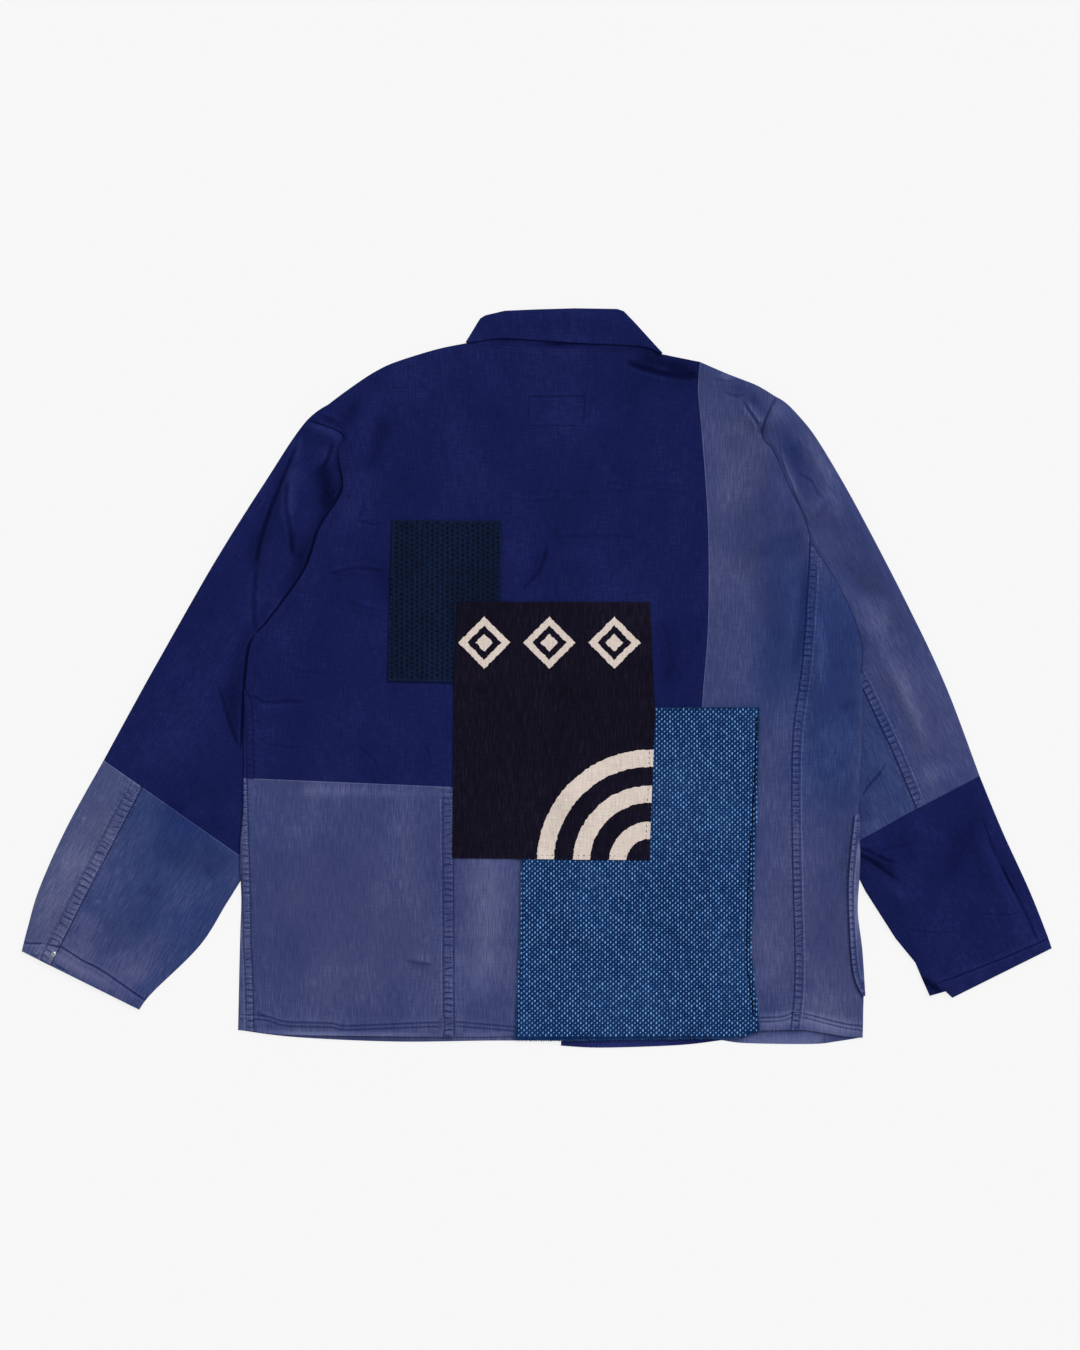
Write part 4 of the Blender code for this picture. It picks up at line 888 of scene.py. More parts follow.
def triangulate(loop, inner):
    # fills an outline with triangles that use every inner point
    count = len(loop)
    points = np.vstack([loop, inner])
    edges = [(k, (k + 1) % count) for k in range(count)]
    made = delaunay_2d_cdt([Vector(p) for p in points.tolist()], edges, [], 1, 1e-5)
    source = np.array([k[0] if k else -1 for k in made[3]])
    faces = source[np.array(made[2])]
    if len(made[0]) != len(points) or (faces < 0).any():
        raise ValueError("an outline crosses itself")
    a, b, c = points[faces[:, 0]], points[faces[:, 1]], points[faces[:, 2]]
    turn = (b[:, 0] - a[:, 0]) * (c[:, 1] - a[:, 1]) - (b[:, 1] - a[:, 1]) * (c[:, 0] - a[:, 0])
    faces[turn < 0] = faces[turn < 0][:, ::-1]
    return points, faces


# closer rows of points along a seam's band and along a crease, and the millimetres kept clear beside them;
# "edgeShare" of the spacing is kept clear along an outline, and crease rows are in half widths
meshing = {"edgeShare": 0.6, "hiddenEdge": 2.0, "bandBeyond": 3.2, "bandClear": 4.5, "creaseStep": 1.7,
           "creaseRows": (-2.2, -1.4, -0.7, 0, 0.7, 1.4, 2.2), "creaseClear": 1.2, "creaseEdge": 0.9}
# a crease is a trough with painted shade in it and a low swelling on both sides, which is where the cloth
# wears pale
creaseForm = {"swellAt": 1.9, "swellHeight": 0.7, "swellPale": 0.25, "fadeShare": 0.25, "fadeLength": 12.0}


def bandPoints(band, loop):
    # closer rows of points along a felled seam
    line = linePoints(band["line"], cloth["bandStep"] * 1.2)
    side = acrossLine(line)
    offsets = np.arange(cloth["bandStep"], band["width"] + meshing["bandBeyond"], cloth["bandStep"])
    points = np.vstack([line + side * offset * way for offset in offsets for way in (1, -1)])
    return points[insideLoop(points, loop)]


def creasePoints(path, halfWidth, loop):
    # closer rows of points along a sharp crease
    line = smoothPath(path, meshing["creaseStep"])
    side = acrossLine(line)
    points = np.vstack([line + side * halfWidth * k for k in meshing["creaseRows"]])
    return points[insideLoop(points, loop)]


def insideLoop(points, loop):
    # whether each point is inside the loop
    ax, ay = loop[:, 0], loop[:, 1]
    bx, by = np.roll(ax, -1), np.roll(ay, -1)
    rise = np.where(by == ay, 1.0, by - ay)
    result = np.zeros(len(points), dtype=bool)
    for first in range(0, len(points), 4000):
        x, y = np.hsplit(points[first:first + 4000], 2)
        cuts = ((ay > y) != (by > y)) & (x < ax + (y - ay) * (bx - ax) / rise)
        result[first:first + 4000] = cuts.sum(axis=1) % 2 == 1
    return result


def pucker(along, pitch, seed):
    # uneven gathers along a seam, between -1 and 1
    rng = np.random.default_rng(seed)
    knots = np.arange(0, along.max() + 40, 11.0)
    drift = np.interp(along, knots, rng.uniform(-1.3, 1.3, len(knots)))
    strength = np.interp(along, knots, rng.uniform(0.45, 1.15, len(knots)))
    return strength * np.sin(2 * math.pi * along / pitch + drift)


def sheetPoints(name, side, bands, ownCreases):
    # the plan points and triangles of a sheet, with closer rows along its felled seams and sharp creases
    loop = loops[name, side][0]
    closed = np.vstack([loop, loop[:1]])
    top = side == "high"
    step = clothPieces[name].get("step", cloth["showStep"]) if top else cloth["hiddenStep"]
    clear = step * meshing["edgeShare"] if top else meshing["hiddenEdge"]
    inner = farFrom(fieldPoints(loop, step), closed, clear)
    lines = [(linePoints(band["line"], 4.0), band["width"] + meshing["bandClear"]) for band in bands]
    for band, (line, reach) in zip(bands, lines):
        extra = farFrom(bandPoints(band, loop), closed, cloth["bandStep"] * meshing["edgeShare"])
        inner = np.vstack([farFrom(inner, line, reach), extra])
    for halfWidth, _, _, path in ownCreases:
        extra = farFrom(creasePoints(path, halfWidth, loop), closed, meshing["creaseEdge"])
        for line, reach in lines:
            extra = farFrom(extra, line, reach)
        clear = halfWidth * meshing["creaseRows"][-1] + meshing["creaseClear"]
        inner = np.vstack([farFrom(inner, smoothPath(path, 3.0), clear), extra])
    return triangulate(loop, inner)


def makeSheet(name, side):
    # plan points, triangles, height of the underside, thickness, and what the material needs
    piece = clothPieces[name]
    level = piece[side][0]
    loop, owners = loops[name, side]
    top = side == "high"
    bands = [band for band in felledSeams if band["piece"] == name] if top else []
    ownCreases = creases.get(name, []) if top else []
    points, faces = sheetPoints(name, side, bands, ownCreases)
    under = sample(heights[level], points)
    thick = np.full(len(points), float(piece.get("wall", cloth["wall"])))
    none = np.zeros(len(points))
    crest = none.copy()
    seam = np.column_stack([none, none + seamForm["reach"], none])
    shows = top or name == "collar"  # the collar's low sheet is its stand, which shows beside the fall
    for band in [band for band in felledSeams if shows and name in (band["piece"], band["beside"])]:
        holds = name == band["piece"]
        width = band["width"]
        along, across, _ = nearestOnLine(points, linePoints(band["line"], 2.4))
        gather = pucker(along, seamForm["pitch"], band["seed"])
        nearer = across < seam[:, 1]
        seam[nearer] = np.column_stack([along, across, none + width * holds])[nearer]
        raised, spread = none, 1 - smoothStep(across, 0, 7)
        if holds and width > 2:
            raised = 1 - smoothStep(across, width - 1.0, width + 1.2)
            spread = 1 - smoothStep(across, width, width + 7)
            thick += seamForm["bandRise"] * raised
        under += band["pucker"] * gather * spread
        # crest is pale on the gathers' tops and the raised band, part wear and part painted highlight, and
        # painted shade in their troughs
        crest += band["pucker"] / seamForm["crest"] * (gather * spread + seamForm["raisedCrest"] * raised)
    if top and name in hems:
        line, width = hems[name]
        across = nearestOnLine(points, linePoints(line, 4.0))[1]
        raised = 1 - smoothStep(across, width - 0.8, width + 1.6)
        thick += seamForm["hemRise"] * raised
        # the raised hem is painted paler, part wear and part painted highlight
        crest += seamForm["hemCrest"] * raised
    wear = sample(wearAndShadeFields[level], points)
    # each crease sinks the cloth and paints shade into its trough, and the swellings beside it wear pale
    for halfWidth, depth, dark, path in ownCreases:
        line = smoothPath(path, meshing["creaseStep"])
        along, across, _ = nearestOnLine(points, line)
        total = lengthOf(line)
        ends = min(creaseForm["fadeShare"] * total, creaseForm["fadeLength"])
        fade = smoothStep(along, 0, ends) * (1 - smoothStep(along, total - ends, total))
        swelling = np.exp(-((across - creaseForm["swellAt"] * halfWidth) / halfWidth) ** 2)
        trough = np.exp(-(across / halfWidth) ** 2)
        under += depth * fade * (creaseForm["swellHeight"] * swelling - trough)
        wear += dark * fade * (creaseForm["swellPale"] * swelling - trough)
    traits = np.column_stack([crest, wear, seam, sample(blues[level], points)])
    under = np.maximum(under, 0.0)
    if "sleeve" in name:
        points = squeezeIn(points, piece["folds"])
    return {"points": points, "faces": faces, "under": under, "over": under + thick, "traits": traits,
            "count": len(loop), "owners": owners}


def squeezeIn(points, names):
    # draws a sleeve's edge inwards, to leave room for the rounded fold
    for name in names:
        _, across, towards = nearestOnLine(points, linePoints(name, 4.0))
        towards[across < 0.5] = 0
        share = np.clip(1 - across / cloth["insetReach"], 0, 1)
        points = points - towards * (cloth["sleeveInset"] * share)[:, None]
    return points


def foldRuns(sheet, folds):
    # lists of outline points along each fold, in outline order
    count = sheet["count"]
    isFold = [owner in folds for owner in sheet["owners"]]
    runs = []
    for k in range(count):
        if isFold[k] and not isFold[k - 1]:
            run = [k]
            while isFold[run[-1]] and len(run) <= count:
                run.append((run[-1] + 1) % count)
            runs.append((sheet["owners"][k], run))
    return dict(runs)


def makeCloth(name):
    piece = clothPieces[name]
    foldNames = piece.get("folds", [])
    bulge = piece.get("bulge", cloth["foldBulge"])
    sheets = {side: makeSheet(name, side) for side in showing(name)}
    parts, faces, base = [], [], 0
    for side, sheet in sheets.items():
        number = len(sheet["points"])
        sheet["base"] = base
        for height in ("under", "over"):
            parts.append(np.column_stack([sheet["points"], sheet[height], sheet["traits"]]))
        faces += (sheet["faces"][:, ::-1] + base).tolist()
        faces += (sheet["faces"] + base + number).tolist()
        for k in range(sheet["count"]):
            if sheet["owners"][k] not in foldNames:
                a, b = base + k, base + (k + 1) % sheet["count"]
                faces.append([a, b, b + number, a + number])
        base += 2 * number
    if foldNames:
        low, high = sheets["low"], sheets["high"]
        lowRuns, highRuns = foldRuns(low, foldNames), foldRuns(high, foldNames)
        for key, lowRun in lowRuns.items():
            base = addFold(parts, faces, base, low, high, lowRun, highRuns[key], bulge)
    data = np.vstack(parts)
    mesh = bpy.data.meshes.new("cloth_" + name)
    mesh.from_pydata((data[:, :3] * mm).tolist(), [], faces)
    mesh.shade_smooth()
    mesh.set_sharp_from_angle(angle=math.radians(50))
    finishData(mesh, data, piece.get("grain", 0.0))
    made = bpy.data.objects.new("cloth_" + name, mesh)
    bpy.context.scene.collection.objects.link(made)
    return made


def addFold(parts, faces, base, low, high, lowRun, highRun, bulge):
    # the rounded edge that joins a low sheet to the high one, outer skin and inner skin
    arcSteps = 6
    a, b = low["points"][lowRun], high["points"][highRun]
    way = np.gradient((a + b) / 2, axis=0)
    way /= np.maximum(np.linalg.norm(way, axis=1), 1e-6)[:, None]
    out = np.column_stack([way[:, 1], -way[:, 0]])
    lowNumber, highNumber = len(low["points"]), len(high["points"])
    rows = {"outer": [], "inner": []}
    for skin in ("outer", "inner"):
        start = low["under"][lowRun] if skin == "outer" else low["over"][lowRun]
        end = high["over"][highRun] if skin == "outer" else high["under"][highRun]
        reach = bulge if skin == "outer" else max(bulge - cloth["wall"], 0.2)
        shift = 0 if skin == "outer" else lowNumber
        rows[skin].append([low["base"] + shift + k for k in lowRun])
        for s in range(1, arcSteps):
            turn = math.pi * s / arcSteps
            share = (1 - math.cos(turn)) / 2
            place = a * (1 - share) + b * share + out * reach * math.sin(turn)
            height = start * (1 - share) + end * share
            parts.append(np.column_stack([place, height, high["traits"][highRun]]))
            rows[skin].append(list(range(base, base + len(lowRun))))
            base += len(lowRun)
        shift = highNumber if skin == "outer" else 0
        rows[skin].append([high["base"] + shift + k for k in highRun])
    for s in range(arcSteps):
        below, above = rows["outer"][s], rows["outer"][s + 1]
        for k in range(len(lowRun) - 1):
            faces.append([below[k], below[k + 1], above[k + 1], above[k]])
        below, above = rows["inner"][s], rows["inner"][s + 1]
        for k in range(len(lowRun) - 1):
            faces.append([above[k], above[k + 1], below[k + 1], below[k]])
        outerLow, outerHigh = rows["outer"][s], rows["outer"][s + 1]
        innerLow, innerHigh = rows["inner"][s], rows["inner"][s + 1]
        faces.append([outerLow[0], outerHigh[0], innerHigh[0], innerLow[0]])
        faces.append([outerHigh[-1], outerLow[-1], innerLow[-1], innerHigh[-1]])
    return base


def finishData(mesh, data, turn):
    # thread directions as a UV map in millimetres, how high each point lies on its puckers, and its wear with
    # painted light and shade
    angle = math.radians(turn)
    u = data[:, 0] * math.cos(angle) - data[:, 1] * math.sin(angle)
    v = data[:, 0] * math.sin(angle) + data[:, 1] * math.cos(angle)
    index = np.empty(len(mesh.loops), dtype=np.int32)
    mesh.loops.foreach_get("vertex_index", index)
    for key, pair in (("grain", np.column_stack([u, v])), ("seam", data[:, 5:7])):
        layer = mesh.uv_layers.new(name=key)
        layer.data.foreach_set("uv", pair[index].astype(np.float32).ravel())
    for key, column in (("crest", 3), ("wear", 4), ("band", 7), ("blue", 8)):
        attribute = mesh.attributes.new(key, "FLOAT", "POINT")
        attribute.data.foreach_set("value", data[:, column].astype(np.float32))


clothObjects = {name: makeCloth(name) for name in clothPieces}
print("cloth ready:", sum(len(o.data.polygons) for o in clothObjects.values()), "faces")


def linearColour(code, strength=1.0):
    # an sRGB hex colour turned linear, then made darker or lighter by the strength
    values = [int(code[k:k + 2], 16) / 255 for k in (1, 3, 5)]
    linear = [v / 12.92 if v <= 0.04045 else ((v + 0.055) / 1.055) ** 2.4 for v in values]
    return tuple(min(v * strength, 1.0) for v in linear) + (1.0,)


def addNode(tree, kind, inputs=(), stops=(), **settings):
    # a shader node's kind goes without "ShaderNode"; an input is a value, a socket, or a node whose first
    # output is meant; stops are a ramp's places and colours
    made = tree.nodes.new(kind if "Node" in kind else "ShaderNode" + kind)
    for key, value in settings.items():
        setattr(made, key, value)
    for number, (place, colour) in enumerate(stops):
        steps = made.color_ramp.elements
        stop = steps[number] if number < 2 else steps.new(place)
        stop.position, stop.color = place, colour
    for key, value in inputs.items() if isinstance(inputs, dict) else enumerate(inputs):
        if isinstance(value, bpy.types.Node):
            value = value.outputs[0]
        if isinstance(value, bpy.types.NodeSocket):
            tree.links.new(value, made.inputs[key])
        else:
            made.inputs[key].default_value = value
    return made


def newMaterial(name, roughness, specular):
    material = bpy.data.materials.new(name)
    material.use_nodes = True
    tree = material.node_tree
    shader = tree.nodes["Principled BSDF"]
    shader.inputs["Roughness"].default_value = roughness
    shader.inputs["Specular IOR Level"].default_value = specular
    return material, tree, shader


def weightedSum(tree, terms):
    # adds up value * weight pairs
    total = 0.0
    for value, weight in terms:
        total = addNode(tree, "Math", [value, weight, total], operation="MULTIPLY_ADD")
    return total


def stretchedNoise(tree, uv, across, along, detail, offset):
    # noise about 0 whose spots are so many millimetres across and along the threads
    scaled = addNode(tree, "Mapping", {"Vector": uv, "Location": (offset, offset * 0.7, 0),
                                       "Scale": (1 / across, 1 / along, 1)})
    made = addNode(tree, "TexNoise", {"Vector": scaled, "Scale": 1.0, "Detail": detail, "Roughness": 0.55},
                   noise_dimensions="2D")
    return addNode(tree, "Math", [made, 0.5], operation="SUBTRACT")


def lineAt(tree, value, centre, halfWidth):
    # 1 on a line where the value is near the centre, falling to 0 beside it
    offset = addNode(tree, "Math", [value, centre], operation="SUBTRACT")
    gap = addNode(tree, "Math", [offset], operation="ABSOLUTE")
    return addNode(tree, "MapRange", {"Value": gap, "From Max": halfWidth, "To Min": 1.0, "To Max": 0.0})


# sizes in millimetres: how often a pucker comes, half the width of a line and of the edge, and how far from
# the turned edge and from the seam the two lit lines run; then how strongly each lightens or darkens:
# painted shade in the puckers, painted shadow at the turned edge and the seam's edge, painted highlight on
# the lit lines
seamLook = {"pitch": 6.1, "line": 1.0, "edge": 1.2, "shineAt": 1.7, "rowAt": 1.5, "puckerShade": -0.85,
            "turnedEdgeShadow": -0.55, "shadowEdge": -0.75, "paleEdge": 0.525, "shine": 0.35, "rowLight": 0.5}


def seamShade(tree):
    # painted shadow and highlight lines beside a felled seam and painted shade in the short puckers between
    # its two rows of stitches
    uv = addNode(tree, "UVMap", uv_map="seam")
    along, across = addNode(tree, "SeparateXYZ", [uv]).outputs[:2]
    band = addNode(tree, "Attribute", attribute_name="band").outputs["Fac"]
    holds = addNode(tree, "Math", [band, 3.0], operation="GREATER_THAN")
    drift = addNode(tree, "TexNoise", {"Vector": uv, "Scale": 0.07, "Detail": 0.0}, noise_dimensions="2D")
    # slow noise along the seam makes the puckers come in stretches and shifts their spacing
    strong = addNode(tree, "Math", [drift, 2.4, -0.4], operation="MULTIPLY_ADD", use_clamp=True)
    bent = addNode(tree, "Math", [drift, 5.0, along], operation="MULTIPLY_ADD")
    turn = addNode(tree, "Math", [bent, 2 * math.pi / seamLook["pitch"]], operation="MULTIPLY")
    wave = addNode(tree, "Math", [turn], operation="SINE")
    mark = addNode(tree, "Math", [wave, 2.4, -1.1], operation="MULTIPLY_ADD", use_clamp=True)
    middle = addNode(tree, "Math", [band, 0.5], operation="MULTIPLY")
    reach = addNode(tree, "Math", [band, 0.42], operation="MULTIPLY")
    aside = addNode(tree, "Math", [across, middle], operation="SUBTRACT")
    aside = addNode(tree, "Math", [aside], operation="ABSOLUTE")
    within = addNode(tree, "Math", [reach, aside], operation="SUBTRACT", use_clamp=True)
    marked = addNode(tree, "Math", [mark, within], operation="MULTIPLY")
    puckerShade = addNode(tree, "Math", [marked, strong], operation="MULTIPLY")
    beyond = addNode(tree, "Math", [band, seamLook["shineAt"]], operation="ADD")
    lines = [(band, "turnedEdgeShadow"), (beyond, "shine"), (seamLook["rowAt"], "rowLight")]
    turned = weightedSum(tree, [(puckerShade, seamLook["puckerShade"])] + [
        (lineAt(tree, across, centre, seamLook["line"]), seamLook[key]) for centre, key in lines])
    # the edge itself: a painted shadow, or pale where the band attribute is 1, part wear and part painted
    # highlight
    pale = seamLook["paleEdge"] - seamLook["shadowEdge"]
    tone = addNode(tree, "Math", [lineAt(tree, band, 1.0, 0.6), pale, seamLook["shadowEdge"]],
                   operation="MULTIPLY_ADD")
    edge = addNode(tree, "Math", [lineAt(tree, across, 0.0, seamLook["edge"]), tone], operation="MULTIPLY")
    return addNode(tree, "Math", [turned, holds, edge], operation="MULTIPLY_ADD")


def clothMaterial(look):
    material, tree, shader = newMaterial(look["name"], 0.92, 0.06)  # dry cotton, which hardly shines
    uv = addNode(tree, "UVMap", uv_map="grain")
    crest = addNode(tree, "Attribute", attribute_name="crest").outputs["Fac"]
    wear = addNode(tree, "Attribute", attribute_name="wear").outputs["Fac"]
    streak = stretchedNoise(tree, uv, look["streakWidth"], look["streakLength"], 3.0, 3.1)
    cloud = stretchedNoise(tree, uv, 60.0, 110.0, 3.0, 11.0)
    warp = stretchedNoise(tree, uv, 1.2, 14.0, 1.0, 5.0)  # real threads are 0.5 mm, drawn coarser to show
    weft = stretchedNoise(tree, uv, 12.0, 1.3, 1.0, 8.0)
    # crest and wear carry painted light and shade as well as wear; the seam lines are painted shadow and
    # highlight
    terms = [(streak, look["streak"]), (cloud, look["cloud"]), (warp, look["thread"]),
             (weft, look["thread"] * look.get("weft", 0.35)), (crest, look["crest"]),
             (wear, look.get("wear", 0.3))]
    if "seam" in look:
        terms.append((seamShade(tree), look["seam"]))
    if "column" in look:
        # quilting presses the ground into ribs between its columns of stitches; their light and shade are
        # painted in as stripes
        across = addNode(tree, "SeparateXYZ", [uv])
        turn = addNode(tree, "Math", [across, 2 * math.pi / quilting["darkColumns"]], operation="MULTIPLY")
        terms.append((addNode(tree, "Math", [turn], operation="COSINE"), look["column"]))
    level = addNode(tree, "Math", [weightedSum(tree, terms), 0.5], operation="ADD")
    stops = [(k / 2, linearColour(look[key])) for k, key in enumerate(("dark", "base", "light"))]
    colour = addNode(tree, "ValToRGB", [level], stops).outputs[0]
    if "tint" in look:
        # the dye has gone unevenly: bluer clouds beside greyer ones
        clouds = stretchedNoise(tree, uv, 34.0, 120.0, 3.0, 23.0)
        blue = addNode(tree, "Attribute", attribute_name="blue").outputs["Fac"]
        amount = addNode(tree, "Math", [weightedSum(tree, [(clouds, 0.8), (blue, 0.5)]), 0.3],
                         operation="ADD", use_clamp=True)
        colour = addNode(tree, "Mix", {0: amount, 6: colour, 7: linearColour(look["tint"])},
                         data_type="RGBA", blend_type="MULTIPLY").outputs[2]
    if "motif" in look:
        mottle = weightedSum(tree, [(warp, 0.6), (weft, 0.5), (streak, 0.5)])
        level = addNode(tree, "Math", [mottle, 0.5], operation="ADD")
        cream = addNode(tree, "ValToRGB", [level],
                        [(place, linearColour(code)) for place, code in look["motif"]])
        colour = addNode(tree, "Mix", {0: restrainedMotif(tree), 6: colour, 7: cream},
                         data_type="RGBA").outputs[2]
    weave = weightedSum(tree, [(warp, 1.0), (weft, 0.8)])
    bump = addNode(tree, "Bump", {"Height": weave, "Strength": 0.5, "Distance": 0.0006})
    tree.links.new(colour, shader.inputs["Base Color"])
    tree.links.new(bump.outputs[0], shader.inputs["Normal"])
    return material


motif = {"lozengeAt": (-51.5, 36.0, 0.0), "pitch": 65.0, "lozenge": 26.0, "hollow": 13.0, "hollowWidth": 4.2,
         "corner": (114.0, -184.0, 0.0), "middleRing": 68.5, "ringPitch": 36.0, "ringWidth": 17.0}


def restrainedMotif(tree):
    # where the resist kept the cotton cream: a row of hollow lozenges and three quarter rings in one corner
    spot = addNode(tree, "TexCoord").outputs["Object"]
    place = addNode(tree, "Mapping", {"Vector": spot, "Scale": (1000, 1000, 0)})
    wander = addNode(tree, "TexNoise", {"Vector": place, "Scale": 0.22, "Detail": 3.0},
                     noise_dimensions="2D").outputs["Color"]
    moved = addNode(tree, "VectorMath", [wander, (2.4, 2.4, 0), place], operation="MULTIPLY_ADD")
    fromRow = addNode(tree, "VectorMath", [moved, motif["lozengeAt"]], operation="SUBTRACT")
    across, up = addNode(tree, "SeparateXYZ", [fromRow]).outputs[:2]
    across = addNode(tree, "Math", [across, motif["pitch"] / 2], operation="PINGPONG")
    up = addNode(tree, "Math", [up], operation="ABSOLUTE")
    diamond = addNode(tree, "Math", [across, up], operation="ADD")
    whole = addNode(tree, "Math", [diamond, motif["lozenge"]], operation="LESS_THAN")
    hollow = addNode(tree, "Math", [diamond, motif["hollow"], motif["hollowWidth"]], operation="COMPARE")
    lozenge = addNode(tree, "Math", [whole, hollow], operation="SUBTRACT")
    radius = addNode(tree, "VectorMath", [moved, motif["corner"]], operation="DISTANCE").outputs["Value"]
    fromRing = addNode(tree, "Math", [radius, motif["middleRing"]], operation="SUBTRACT")
    away = addNode(tree, "Math", [fromRing, motif["ringPitch"] / 2], operation="PINGPONG")
    ring = addNode(tree, "Math", [away, motif["ringWidth"] / 2], operation="LESS_THAN")
    three = addNode(tree, "Math", [fromRing, 0.0, 1.5 * motif["ringPitch"]], operation="COMPARE")
    rings = addNode(tree, "Math", [ring, three], operation="MULTIPLY")
    return addNode(tree, "Math", [lozenge, rings], operation="MAXIMUM")


quilting = {"darkColumns": 5.07, "blueColumns": 2.7, "pitch": 4.9}

# what washing and wear leave: streaks along the warp, and pale ridges and seam edges; with painted shade and
# highlights on puckers, seams and folds
wornAndShaded = {"streakWidth": 1.7, "streakLength": 22.0, "streak": 0.3, "cloud": 0.36, "thread": 0.44, "crest": 0.16,
        "seam": 0.8, "wear": 0.6}
# thick cotton under quilting: short streaks and no seams
quilted = {"streakWidth": 2.5, "streakLength": 5.0, "crest": 0.0}
looks = {
    # indigo work cotton, dyed and softly worn: nearly even navy with faint lighter threads
    "navy": {"name": "indigoWorkCotton", "dark": "#050a31", "base": "#131b4d", "light": "#272f66",
             "streakWidth": 2.6, "streakLength": 16.0, "streak": 0.18, "cloud": 0.42, "thread": 0.3,
             "weft": 0.9, "crest": 0.12, "seam": 0.35, "wear": 0.75},
    # the same cotton faded by years of washing: grey blue, streaked along the warp, pale on every ridge, part
    # wear and part painted highlight
    "faded": dict(wornAndShaded, name="fadedWorkCotton", dark="#272f5c", base="#40466f", light="#666b92",
                  tint="#aecff0"),
    # its palest pieces
    "fadedPale": dict(wornAndShaded, name="paleWorkCotton", dark="#30365f", base="#4d5278", light="#777b9c",
                      tint="#b2d2f0"),
    # half faded, still blue
    "dull": dict(wornAndShaded, name="halfFadedWorkCotton", dark="#1b2450", base="#37426e", light="#64648b",
                 tint="#aacdee", streakWidth=1.8, cloud=0.4),
    # near black and quilted, ribbed between its columns, the ribs' light and shade painted in
    "darkSashiko": dict(quilted, name="darkQuiltedCotton", dark="#02040d", base="#0b162e", light="#1b2f54",
                        streak=0.25, cloud=0.3, thread=0.3, column=0.04),
    # the ground under the pale stitches: deep blue
    "blueSashiko": dict(quilted, name="blueQuiltedCotton", dark="#04173a", base="#0d2a58", light="#25426e",
                        streak=0.5, cloud=0.6, thread=0.4),
    # plain-woven shop-curtain cotton, dyed near black round a design kept cream by a resist paste
    "noren": {"name": "norenPlainCotton", "dark": "#08060f", "base": "#110d1d", "light": "#241f31",
              "streakWidth": 1.5, "streakLength": 26.0, "streak": 0.5, "cloud": 0.3, "thread": 0.7,
              "crest": 0.0, "motif": [(0.0, "#b9a99e"), (1.0, "#e9ddd4")]},
}
materials = {key: clothMaterial(look) for key, look in looks.items()}


def threadMaterial(name, code):
    # twisted cotton thread, slightly uneven in colour from stitch to stitch
    material, tree, shader = newMaterial(name, 0.85, 0.08)
    place = addNode(tree, "TexCoord").outputs["Object"]
    spots = addNode(tree, "TexNoise", {"Vector": place, "Scale": 130.0, "Detail": 2.0})
    colour = addNode(tree, "ValToRGB", [spots],
                     [(0.3, linearColour(code, 0.7)), (0.7, linearColour(code, 1.4))])
    tree.links.new(colour.outputs[0], shader.inputs["Base Color"])
    return material


threads = {
    "navy": threadMaterial("navyThread", "#0b1030"),           # disappears into the dark cloth
    "slate": threadMaterial("slateThread", "#1e2550"),         # darker than the faded cloth
    "paleBlue": threadMaterial("paleBlueThread", "#6b9acc"),   # washed pale on top of each stitch
    "midnight": threadMaterial("midnightThread", "#030717"),   # near black, sunk into the quilting
    "black": threadMaterial("blackThread", "#0d0b16"),         # round the near-black plain patch
    "indigo": threadMaterial("indigoThread", "#12264a"),       # borders of both stitched patches
    "lint": threadMaterial("lintThread", "#2c507e"),           # loose ends of the blue patch
}
for name, made in clothObjects.items():
    made.data.materials.append(materials[clothPieces[name]["material"]])
print("materials ready")


def stitchTree():
    # short beads of thread along a curve: one for each pitch, lying on the cloth
    tree = bpy.data.node_groups.new("runningStitch", "GeometryNodeTree")
    tree.interface.new_socket("Geometry", in_out="INPUT", socket_type="NodeSocketGeometry")
    for label in ("Pitch", "Length", "Width", "Height", "Uneven", "Lean", "Turn"):
        tree.interface.new_socket(label, in_out="INPUT", socket_type="NodeSocketFloat")
    tree.interface.new_socket("Seed", in_out="INPUT", socket_type="NodeSocketInt")
    tree.interface.new_socket("Thread", in_out="INPUT", socket_type="NodeSocketMaterial")
    tree.interface.new_socket("Geometry", in_out="OUTPUT", socket_type="NodeSocketGeometry")
    given = addNode(tree, "NodeGroupInput").outputs
    along = addNode(tree, "GeometryNodeCurveToPoints", {"Curve": given["Geometry"], "Length": given["Pitch"]},
                    mode="LENGTH").outputs
    way = addNode(tree, "FunctionNodeAlignRotationToVector", {"Vector": along["Tangent"]}, axis="X",
                  pivot_axis="AUTO")
    bead = addNode(tree, "GeometryNodeMeshUVSphere", {"Segments": 6, "Rings": 4, "Radius": 0.5})
    size = addNode(tree, "CombineXYZ", [given["Length"], given["Width"], given["Height"]])
    smallest = addNode(tree, "Math", [1.0, given["Uneven"]], operation="SUBTRACT")
    largest = addNode(tree, "Math", [1.0, given["Uneven"]], operation="ADD")
    factor = addNode(tree, "FunctionNodeRandomValue", {2: smallest, 3: largest, "Seed": given["Seed"]})
    scale = addNode(tree, "VectorMath", {0: size, 3: factor.outputs[1]}, operation="SCALE")
    placed = addNode(tree, "GeometryNodeInstanceOnPoints",
                     {"Points": along["Points"], "Instance": bead, "Rotation": way, "Scale": scale})
    less = addNode(tree, "Math", [given["Lean"], given["Turn"]], operation="SUBTRACT")
    more = addNode(tree, "Math", [given["Lean"], given["Turn"]], operation="ADD")
    turn = addNode(tree, "FunctionNodeRandomValue", {2: less, 3: more, "Seed": given["Seed"]})
    swing = addNode(tree, "CombineXYZ", {2: turn.outputs[1]})
    turned = addNode(tree, "GeometryNodeRotateInstances", {"Instances": placed, "Rotation": swing})
    real = addNode(tree, "GeometryNodeRealizeInstances", {"Geometry": turned})
    smooth = addNode(tree, "GeometryNodeSetShadeSmooth", {"Geometry": real})
    coated = addNode(tree, "GeometryNodeSetMaterial", {"Geometry": smooth, "Material": given["Thread"]})
    addNode(tree, "NodeGroupOutput", {"Geometry": coated})
    return tree


